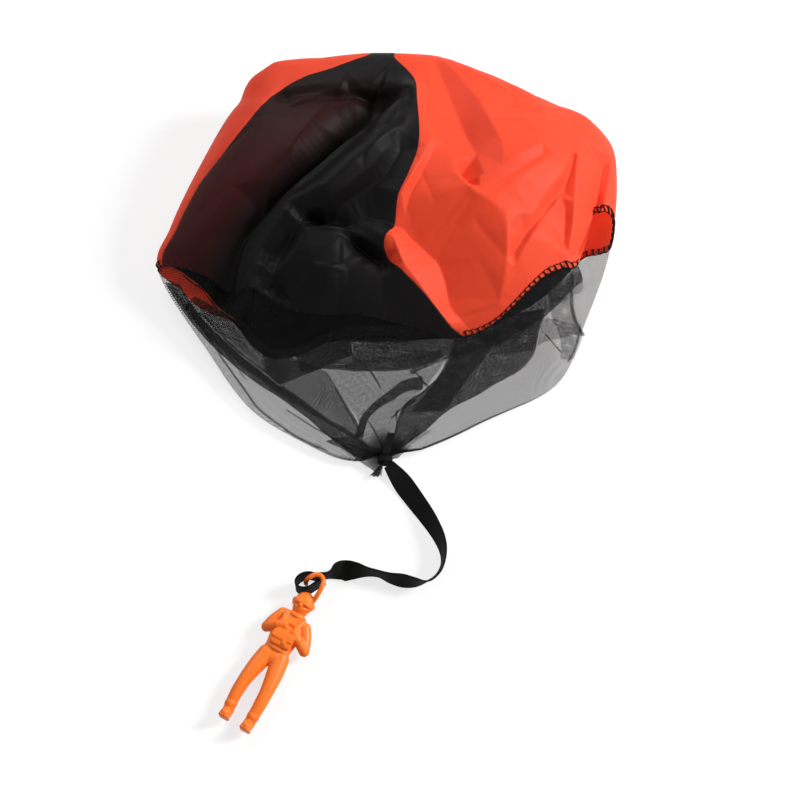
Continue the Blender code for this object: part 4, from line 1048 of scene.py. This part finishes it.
def skirtHalf(start, lean):
    # the loop from hem to gather over half a turn, with a ripple along it that grows to the gather
    ways = np.linspace(0, 1, skirt["rows"])[:, None]
    angles = np.linspace(start, start + 180, skirt["columns"])[None]
    starts = netStart(angles)
    stations = starts + (2.0 - starts) * ways
    grid = clothPlace(angles, stations, 1.0)
    turn = np.radians(angles)
    ripple = np.sin(turn * skirt["rippleWaves"] + skirt["uneven"] * np.sin(turn * skirt["unevenWaves"]))
    ripple = ripple * skirt["ripple"] * ramp(stations, *skirt["rippleStations"])
    grid = grid - inward(angles, np.clip(stations, *skirt["stations"])) * ripple[..., None]
    grid[..., 2] = np.maximum(grid[..., 2], skirt["least"])
    return grid, turnedUv(grid[..., 0], grid[..., 1], math.radians(lean))


def makeSkirt():
    # both halves of the loop, then the folds, then the narrow folds to both sides of their lines
    made = [skirtHalf(start, lean) for start, lean in skirt["halves"]]
    for number, (outer, inner, layers) in enumerate(skirt["folds"]):
        made.append(underTop(outer, inner, skirt["depth"], layers, seed=number + skirt["foldSeed"]))
    for number, (line, width) in enumerate(skirt["lines"]):
        line = np.array(line, float)
        ahead = headings(line)
        aside = np.stack([-ahead[:, 1], ahead[:, 0]], axis=1) * width * perMetre / 2
        made.append(underTop(line + aside, line - aside, skirt["depth"] / 2, 2, skirt["lineRows"],
                             skirt["lineColumns"], seed=number + skirt["lineSeed"]))
    grids, uvs = zip(*made)
    layered = [skirt["layeredVeil" if layers > 1 else "foldVeil"] for _, _, layers in skirt["folds"]]
    veils = [0, 0] + layered + [skirt["foldVeil"]] * len(skirt["lines"])
    amounts = [np.maximum(bunching(grid), veil) for grid, veil in zip(grids, veils)]
    piece = surfacePiece("tulle_skirt", grids, blackTulle, uvs, amounts)
    print("tulle area", round(sum(clothArea(grid) for grid in grids), 4))
    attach(piece, "canopy")
    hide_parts("skirt_front_black", "skirt_left_orange", "skirt_back_black", "skirt_right_orange")
    return piece


skirtPiece = makeSkirt()
print("stage 6: tulle")

# the gather: bunched tulle, its sewn tape, the tuft past it and the tape's cut tail
gather = {"halfWidth": 0.0032, "halfHeight": 0.0024, "length": 0.0065, "height": 0.0047, "gap": 0.0003}
gatherStart = clothPlace(np.linspace(0, 360, 16, endpoint=False), 2.0).mean(axis=0)

bundle = {"rows": 24, "around": 72, "over": 0.001, "swellWays": (0, 0.25, 0.5, 0.75, 1),
          "swell": (0.95, 0.92, 0.86, 0.92, 0.7), "flutes": 17, "fluteDepth": 0.12, "twist": 0.8, "twists": 5,
          "cover": 0.9}


def makeBundle():
    # an oval ring round each centre, its radius waved by the flutes of the bunched cloth
    way = np.linspace(0, 1, bundle["rows"])
    ahead = gatherStart[1] + bundle["over"] - way * (gather["length"] + bundle["over"])
    centres = np.stack(np.broadcast_arrays(gatherStart[0], ahead, gather["height"]), axis=1)
    swell = smoothThrough(bundle["swellWays"], bundle["swell"], way)[:, None]
    turn = np.linspace(0, 2 * math.pi, bundle["around"] + 1)[None]
    flutes = turn * bundle["flutes"] + bundle["twist"] * np.sin(way[:, None] * bundle["twists"])
    wave = 1 + bundle["fluteDepth"] * np.cos(flutes)
    ring = np.stack([np.cos(turn) * wave * (gather["halfWidth"] * swell), np.zeros(wave.shape),
                     np.sin(turn) * wave * (gather["halfHeight"] * swell)], axis=-1)
    grid = closeEnds(centres[:, None] + ring, centres)
    covers = np.full(grid.shape[:2], bundle["cover"])
    piece = surfacePiece("bunched_tulle", [grid], blackTulle, [surfaceUv(grid)], [covers])
    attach(piece, "canopy")
    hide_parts("gather_bundle")
    return piece


# profile in shares of the half length and of the wall
wrap = {"wall": 0.0011, "length": 0.0036, "around": 48, "clear": 0.2,
        "profile": ((-1, 0.05), (-1, 0.7), (-0.9, 1), (0, 0.93), (0.9, 1), (1, 0.7), (1, 0.05), (-1, 0.05))}


def makeWrap():
    # the tape's rounded profile carried round an oval
    turn = np.linspace(0, 2 * math.pi, wrap["around"] + 1)[None]
    profile = np.array(wrap["profile"]) * (wrap["length"] / 2, wrap["wall"])
    along, out = profile[:, :1], profile[:, 1:] + gather["gap"] * wrap["clear"]
    ring = np.stack(np.broadcast_arrays(np.cos(turn) * (gather["halfWidth"] + out), along,
                                        np.sin(turn) * (gather["halfHeight"] + out)), axis=-1)
    middle = gatherStart[1] - gather["gap"] - gather["length"] / 2
    grid = ring + np.array([gatherStart[0], middle, gather["height"]])
    piece = surfacePiece("tape_wrap", [grid[:, ::-1]], blackTape, [surfaceUv(grid)[:, ::-1]])
    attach(piece, "canopy")
    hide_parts("gather_wrap")
    return piece


tuft = {"leaves": 7, "rows": 14, "columns": 9, "length": 0.0062, "aside": 0.75, "spread": 0.0014,
        "fromSpread": 0.5, "halfLeaf": 0.0009, "fromLeaf": 0.6, "shorter": 0.12, "teeth": 0.0004,
        "toothWaves": 9, "drop": 0.0012, "curl": 0.0007, "curls": 3, "curlTurn": 2, "stack": 0.0008,
        "cover": 0.45}


def makeTuft():
    # leaves of net that fan out past the wrap, each curled by a cosine across it and stacked in threes
    rows = np.linspace(0, 1, tuft["rows"])[:, None]
    cross = np.linspace(-1, 1, tuft["columns"])[None]
    middle = (tuft["leaves"] - 1) / 2
    grids = []
    for leaf in range(tuft["leaves"]):
        side = (leaf - middle) / middle
        x = gatherStart[0] - gather["halfWidth"] * (tuft["aside"] + rows) \
            + side * tuft["spread"] * (tuft["fromSpread"] + rows) \
            + cross * tuft["halfLeaf"] * (tuft["fromLeaf"] + rows)
        y = gatherStart[1] - gather["length"] - gather["gap"] \
            - rows * tuft["length"] * (1 - tuft["shorter"] * abs(side)) \
            + tuft["teeth"] * np.cos(cross * tuft["toothWaves"]) * rows
        z = gather["height"] - rows * tuft["drop"] \
            + tuft["curl"] * np.cos(cross * tuft["curls"] + leaf * tuft["curlTurn"]) \
            + tuft["stack"] * (leaf % 3 - 1)
        grids.append(np.stack(np.broadcast_arrays(x, y, z), axis=-1))
    covers = [np.full(grid.shape[:2], tuft["cover"]) for grid in grids]
    piece = surfacePiece("tulle_tuft", grids, blackTulle, [surfaceUv(grid) for grid in grids], covers)
    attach(piece, "canopy")
    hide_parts("gather_tuft")
    return piece


tail = {"width": 0.0046, "halfWall": 0.0004, "rows": 20, "points": 9, "stations": (1.985, 1.765),
        "degrees": (80, 90, 100), "above": 0.0006, "aside": 0.8, "narrow": 0.75, "fray": 0.0006,
        "frayWaves": 7, "frayWays": (0.8, 1)}


def makeTail():
    # the tape's cut end, laid back over the skirt: a flat closed section that widens to a frayed edge
    low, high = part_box("ribbon_tail")
    rows = np.linspace(0, 1, tail["rows"])
    first, last = tail["stations"]
    top = clothPlace(np.array([tail["degrees"]]), (first + rows * (last - first))[:, None])[..., 2].max(axis=1)
    height = np.maximum(top, gather["height"] + gather["halfHeight"]) + tail["above"] + tail["halfWall"]
    centre = np.stack([gatherStart[0] + rows * tail["width"] * tail["aside"],
                       low[1] + rows * (high[1] - low[1]), height], axis=1)
    count = tail["points"]
    side = np.concatenate([np.linspace(-1, 1, count), np.linspace(1, -1, count), [-1]])[None]
    wall = np.concatenate([np.ones(count), -np.ones(count), [1]])[None] * tail["halfWall"]
    half = tail["width"] / 2 * (tail["narrow"] + (1 - tail["narrow"]) * rows)[:, None]
    fray = tail["fray"] * np.cos(side * tail["frayWaves"]) * ramp(rows, *tail["frayWays"])[:, None]
    grid = centre[:, None] + np.stack(np.broadcast_arrays(half * side, fray, wall), axis=-1)
    grid = closeEnds(grid, centre)
    piece = surfacePiece("tape_tail", [grid], blackTape, [surfaceUv(grid)])
    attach(piece, "canopy")
    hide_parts("ribbon_tail")
    return piece


gatherPieces = [makeBundle(), makeWrap(), makeTuft(), makeTail()]

tack = {"turns": 9, "turnSteps": 12, "along": 0.0006, "aside": 0.0004, "share": 0.95, "thread": 0.00028,
        "around": 6, "upHint": (0.3, 0.2, 1)}


def makeTack():
    # thread bar over the tape's sewn end: rows of satin stitches
    low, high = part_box("eye_tack")
    centre = (np.array(low) + np.array(high)) / 2
    heading = unit(ribbonLine[-1] - ribbonLine[-3])
    aside = np.array([heading[1], -heading[0], 0])
    turn = np.linspace(0, tack["turns"] * 2 * math.pi, tack["turns"] * tack["turnSteps"])[:, None]
    path = centre + heading * (tack["along"] * np.cos(turn)) + aside * (tack["aside"] * np.sin(turn))
    path[:, 2] += np.linspace(-1, 1, len(turn)) * (high[2] - low[2]) / 2 * tack["share"]
    bar = tubeGrid(path, tack["thread"], tack["around"], tack["upHint"])
    piece = surfacePiece("thread_bar", [bar], blackThread)
    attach(piece, "ribbon_strap")
    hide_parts("eye_tack")
    return piece


tackPiece = makeTack()
print("stage 7: gather and eye")

# moulded figure: sizes in metres, the eye's middle in shares of the height from the boots, and the
# factor and rounds of the last smoothing
figure = {"height": 0.0845, "heading": 62.0, "aboveTable": 0.0004, "tip": (-0.058, 1.028), "voxel": 0.00038,
          "rod": 0.00135, "calm": (0.5, 3)}


def figureFrame():
    # place of the boots, so that the tip of the hook comes into the ribbon's eye
    heading = math.radians(figure["heading"])
    ahead = np.array([math.cos(heading), math.sin(heading), 0])
    beside = np.array([ahead[1], -ahead[0], 0])
    tip = (beside * figure["tip"][0] + ahead * figure["tip"][1]) * figure["height"]
    return np.array([*ribbon["eyeCentre"], 0]) - tip, beside, ahead


def figurePlace(shares):
    # shares of the height beside, ahead of and above the boots
    boots, beside, ahead = figureFrame()
    shares = np.asarray(shares, float)
    flat = boots + beside * shares[..., :1] * figure["height"] + ahead * shares[..., 1:2] * figure["height"]
    return flat + np.array([0, 0, 1.0]) * (shares[..., 2:3] * figure["height"] + figure["aboveTable"])


def limbGrid(points, blocky=1.0, around=28, steps=24, capSteps=6):
    # rings along a path of (across, along, up, radius across, radius up) shares, with round ends; the
    # rings' sine and cosine to a power under 1 make the section blocky
    points = np.asarray(points, float)
    run = runAlong(points[:, :3])
    even = np.linspace(0, run[-1], steps)
    rows = smoothThrough(run, points, even) if len(points) > 2 else readLine(even, run, points)
    heading = headings(rows[:, :3])
    caps = np.sin(np.linspace(0, math.pi / 2, capSteps))[:-1]
    ends = []
    for end, way, order in ((rows[0], -heading[0], caps), (rows[-1], heading[-1], caps[::-1])):
        out = np.sqrt(1 - order**2)[:, None] * way * end[3:].min()
        ends.append(np.concatenate([end[:3] + out, end[3:] * order[:, None]**blocky], axis=1))
    rows = np.concatenate([ends[0], rows, ends[1]])
    heading = np.pad(heading, ((len(caps), len(caps)), (0, 0)), mode="edge")
    side = unit(np.cross(heading, (0.0, 0.0, 1.0)))
    up = np.cross(side, heading)
    turn = np.linspace(0, 2 * math.pi, around + 1)
    cosine, sine = (np.sign(wave) * np.abs(wave)**blocky for wave in (np.cos(turn), np.sin(turn)))
    grid = rows[:, None, :3] + side[:, None] * cosine[None, :, None] * rows[:, None, 3:4] \
        + up[:, None] * sine[None, :, None] * rows[:, None, 4:5]
    return figurePlace(grid)


def mirrored(half):
    # the same points again on the other side of the last one
    return half + tuple((-across, *rest) for across, *rest in half[-2::-1])


figureLimbs = {
    "head": ((0, 0.855, 0.086, 0.056, 0.060), (0, 0.888, 0.084, 0.070, 0.070),
             (0, 0.905, 0.084, 0.067, 0.068)),
    "rim": mirrored(((-0.068, 0.905, 0.07, 0.009, 0.009), (-0.061, 0.868, 0.10, 0.009, 0.009),
                     (-0.036, 0.85, 0.126, 0.009, 0.009), (0, 0.843, 0.136, 0.009, 0.009))),
    "goggles": mirrored(((-0.062, 0.888, 0.112, 0.018, 0.012), (-0.03, 0.884, 0.143, 0.02, 0.012),
                         (0, 0.88, 0.149, 0.013, 0.01))),
    "nose": ((0, 0.87, 0.145, 0.009, 0.012), (0, 0.858, 0.15, 0.011, 0.012)),
    "helmetRidge": ((0, 0.945, 0.125, 0.008, 0.008), (0, 0.965, 0.10, 0.008, 0.008),
                    (0, 0.973, 0.08, 0.008, 0.008)),
    "neck": ((0, 0.78, 0.075, 0.046, 0.042), (0, 0.86, 0.08, 0.044, 0.042)),
    "collar": mirrored(((-0.05, 0.80, 0.10, 0.014, 0.014), (0, 0.79, 0.125, 0.014, 0.014))),
    "torso": ((0, 0.49, 0.075, 0.086, 0.048), (0, 0.56, 0.078, 0.087, 0.048), (0, 0.65, 0.085, 0.10, 0.053),
              (0, 0.755, 0.078, 0.10, 0.05)),
    "leftArm": ((-0.086, 0.775, 0.078, 0.042, 0.042), (-0.116, 0.715, 0.074, 0.040, 0.040),
                (-0.139, 0.655, 0.068, 0.035, 0.035)),
    "leftForearm": ((-0.139, 0.652, 0.067, 0.034, 0.034), (-0.095, 0.668, 0.105, 0.032, 0.03),
                    (-0.048, 0.69, 0.137, 0.026, 0.025)),
    "leftCuff": ((-0.07, 0.68, 0.122, 0.033, 0.031), (-0.064, 0.682, 0.126, 0.033, 0.031)),
    "leftHand": ((-0.05, 0.688, 0.138, 0.03, 0.02), (-0.026, 0.70, 0.146, 0.025, 0.018)),
    "rightArm": ((0.088, 0.75, 0.076, 0.042, 0.042), (0.124, 0.69, 0.072, 0.040, 0.040),
                 (0.155, 0.62, 0.067, 0.036, 0.036)),
    "rightForearm": ((0.155, 0.62, 0.066, 0.035, 0.035), (0.118, 0.638, 0.104, 0.032, 0.03),
                     (0.078, 0.66, 0.137, 0.027, 0.025)),
    "rightCuff": ((0.098, 0.648, 0.12, 0.033, 0.031), (0.092, 0.651, 0.125, 0.033, 0.031)),
    "rightHand": ((0.078, 0.66, 0.138, 0.03, 0.02), (0.054, 0.675, 0.146, 0.025, 0.018)),
    "hips": ((-0.045, 0.49, 0.072, 0.058, 0.05), (0.045, 0.49, 0.072, 0.058, 0.05)),
    "leftLeg": ((-0.046, 0.50, 0.075, 0.060, 0.054), (-0.066, 0.40, 0.078, 0.055, 0.053),
                (-0.084, 0.27, 0.082, 0.044, 0.046), (-0.087, 0.16, 0.075, 0.040, 0.041),
                (-0.081, 0.075, 0.066, 0.034, 0.035)),
    "leftKnee": ((-0.078, 0.30, 0.112, 0.024, 0.016), (-0.083, 0.265, 0.113, 0.022, 0.015)),
    "leftBoot": ((-0.081, 0.07, 0.058, 0.038, 0.038), (-0.08, 0.04, 0.062, 0.037, 0.038),
                 (-0.08, 0.032, 0.098, 0.033, 0.032)),
    "leftSole": ((-0.08, 0.014, 0.04, 0.036, 0.012), (-0.08, 0.012, 0.112, 0.034, 0.012)),
    "leftTop": ((-0.084, 0.112, 0.07, 0.041, 0.041), (-0.084, 0.104, 0.07, 0.041, 0.041)),
    "rightLeg": ((0.048, 0.50, 0.075, 0.060, 0.054), (0.066, 0.40, 0.078, 0.055, 0.053),
                 (0.081, 0.26, 0.082, 0.044, 0.046), (0.083, 0.15, 0.075, 0.040, 0.041),
                 (0.079, 0.065, 0.066, 0.034, 0.035)),
    "rightKnee": ((0.077, 0.29, 0.112, 0.024, 0.016), (0.081, 0.255, 0.113, 0.022, 0.015)),
    "rightBoot": ((0.079, 0.06, 0.058, 0.038, 0.038), (0.078, 0.03, 0.062, 0.037, 0.038),
                  (0.078, 0.022, 0.098, 0.033, 0.032)),
    "rightSole": ((0.078, 0.004, 0.04, 0.036, 0.012), (0.078, 0.002, 0.112, 0.034, 0.012)),
    "rightTop": ((0.082, 0.102, 0.07, 0.041, 0.041), (0.082, 0.094, 0.07, 0.041, 0.041)),
    "reserve": ((0.006, 0.578, 0.13, 0.074, 0.024), (0.006, 0.635, 0.136, 0.074, 0.026)),
    "flap": ((0.006, 0.602, 0.158, 0.076, 0.006), (0.006, 0.642, 0.16, 0.076, 0.006)),
    "handle": ((0.03, 0.592, 0.158, 0.014, 0.007), (0.03, 0.578, 0.156, 0.014, 0.007)),
    "backPack": ((0, 0.57, 0.04, 0.07, 0.038), (0, 0.75, 0.04, 0.072, 0.038)),
    "leftStrap": ((-0.064, 0.80, 0.112, 0.017, 0.010), (-0.052, 0.73, 0.134, 0.017, 0.010),
                  (-0.042, 0.65, 0.14, 0.017, 0.010)),
    "rightStrap": ((0.064, 0.79, 0.110, 0.017, 0.010), (0.055, 0.72, 0.133, 0.017, 0.010),
                   (0.048, 0.65, 0.14, 0.017, 0.010)),
    "chestStrap": ((-0.05, 0.728, 0.136, 0.012, 0.008), (0.052, 0.722, 0.136, 0.012, 0.008)),
    "belt": ((-0.072, 0.545, 0.098, 0.015, 0.012), (-0.04, 0.542, 0.121, 0.015, 0.011),
             (0.004, 0.54, 0.127, 0.015, 0.011), (0.045, 0.542, 0.121, 0.015, 0.011),
             (0.077, 0.545, 0.096, 0.015, 0.012))}

# how round each limb's section is: 1 is an oval, and less is nearer a box
figureBlocky = {"reserve": 0.42, "flap": 0.5, "backPack": 0.5, "goggles": 0.7, "leftSole": 0.6,
                "rightSole": 0.6}


hook = {
    # shares of the figure's height: the shaft from the helmet, then the crest over the eye's wall
    "shaft": ((0.05, 0.925, 0.105), (0.062, 0.975, 0.143), (0.063, 1.03, 0.161)),
    "crest": ((0.05, 1.072), (0.018, 1.09), (-0.012, 1.082)), "clear": 0.0003,
    # shares that bring the crest's last place to where the rod turns down in the eye, and its tip's height
    "inside": (0.35, 0.35, 0.93), "tipHeight": 0.05, "steps": 70, "around": 16, "taper": (0.9, 0.7, 0.4),
    "upHint": (0.5, -0.8, 0.1)}


def hookPath():
    # up from the helmet, over the standing ribbon and down into its eye
    crest = ribbon["aboveTable"] + ribbon["width"] + figure["rod"] + hook["clear"] - figure["aboveTable"]
    route = [figurePlace(share) for share in hook["shaft"]]
    route += [figurePlace((across, along, crest / figure["height"])) for across, along in hook["crest"]]
    over = np.array([*ribbon["eyeCentre"], 0])
    inside = over + (route[-1] - over) * np.array(hook["inside"])
    tip = over + np.array([0, 0, hook["tipHeight"] * figure["height"]])
    middle = over + np.array([0, 0, (inside[2] + tip[2]) / 2])
    return alongRoute(np.array(route + [inside, middle, tip]), hook["steps"])


def makeFigure():
    # limbs and hook overlap, and a fine remesh joins them to one moulding with rounded inner corners
    grids = [limbGrid(points, figureBlocky.get(name, 1.0)) for name, points in figureLimbs.items()]
    path = hookPath()
    radius = np.full(len(path), figure["rod"])
    radius[-len(hook["taper"]):] *= hook["taper"]
    grids.append(tubeGrid(path, radius, hook["around"], hook["upHint"]))
    piece = surfacePiece("moulded_figure", grids, orangePlastic)
    shell = bmesh.new()
    shell.from_mesh(piece.data)
    bmesh.ops.recalc_face_normals(shell, faces=shell.faces)
    shell.to_mesh(piece.data)
    shell.free()
    join = piece.modifiers.new("join", "REMESH")
    join.mode = "VOXEL"
    join.voxel_size = figure["voxel"] * 1
    join.use_smooth_shade = True
    calm = piece.modifiers.new("calm", "SMOOTH")
    calm.factor, calm.iterations = figure["calm"]
    graph = bpy.context.evaluated_depsgraph_get()
    mesh = bpy.data.meshes.new_from_object(piece.evaluated_get(graph))
    piece.modifiers.clear()
    piece.data = mesh
    mesh.materials.clear()
    mesh.materials.append(orangePlastic)
    mesh.shade_smooth()
    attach(piece, "figure")
    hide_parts("jumper_figure")
    print("figure triangles", sum(len(face.vertices) - 2 for face in mesh.polygons))


makeFigure()
print("stage 8: figure")

# floor, lamps and background: each lamp's place, size and power
studio = {
    "floorHalf": 3.0, "paper": "#c4c4c4", "paperSeen": 0.3, "paperGlow": 0.74, "sky": 0.25,
    "lamps": (("soft_box_right", (1.45, 0.15, 1.05), 0.5, 37), ("soft_box_left", (-0.6, 1.1, 1.2), 0.8, 12))}


def seenBy(tree):
    # one where the camera looks, also through a gloss or a clear surface, and nothing for other rays
    rays = addNode(tree, "ShaderNodeLightPath")
    seen = rays.outputs["Is Camera Ray"]
    for other in ("Is Glossy Ray", "Is Transmission Ray"):
        seen = calculate(tree, "MAXIMUM", seen, rays.outputs[other])
    return seen


def makeFloor():
    half = studio["floorHalf"]
    mesh = bpy.data.meshes.new("floor")
    corners = [(-half, -half, 0), (half, -half, 0), (half, half, 0), (-half, half, 0)]
    mesh.from_pydata(corners, [], [(0, 1, 2, 3)])
    floor = bpy.data.objects.new("floor", mesh)
    bpy.context.scene.collection.objects.link(floor)
    # white paper backdrop, lit evenly from behind, with a faint shadow under the toy
    material, tree = newMaterial("white_paper_backdrop")
    paper = addNode(tree, "ShaderNodeBsdfDiffuse", {"Color": toLinear(studio["paper"])})
    shaded = addNode(tree, "ShaderNodeBsdfDiffuse", {"Color": [studio["paperSeen"]] * 3 + [1]})
    glow = addNode(tree, "ShaderNodeEmission", {"Color": (1, 1, 1, 1), "Strength": studio["paperGlow"]})
    white = addNode(tree, "ShaderNodeAddShader", {0: shaded.outputs[0], 1: glow.outputs[0]})
    showShader(tree, mixed(tree, seenBy(tree), paper, white))
    mesh.materials.append(material)


makeFloor()
for lampName, place, size, power in studio["lamps"]:
    lampData = bpy.data.lights.new(lampName, "AREA")
    lampData.size = size
    lampData.energy = power
    lamp = bpy.data.objects.new(lampName, lampData)
    lamp.location = place
    lamp.rotation_euler = (-lamp.location).to_track_quat("-Z", "Y").to_euler()
    bpy.context.scene.collection.objects.link(lamp)

world = bpy.data.worlds.new("studio")
world.use_nodes = True
bpy.context.scene.world = world
sky = world.node_tree
sky.nodes.clear()
dim, bright = (addNode(sky, "ShaderNodeBackground", {"Color": (1, 1, 1, 1), "Strength": strength})
               for strength in (studio["sky"], 1.0))
addNode(sky, "ShaderNodeOutputWorld", {"Surface": mixed(sky, seenBy(sky), dim, bright).outputs[0]})
bpy.context.scene.view_settings.view_transform = "Standard"
print("stage 9: floor and light")
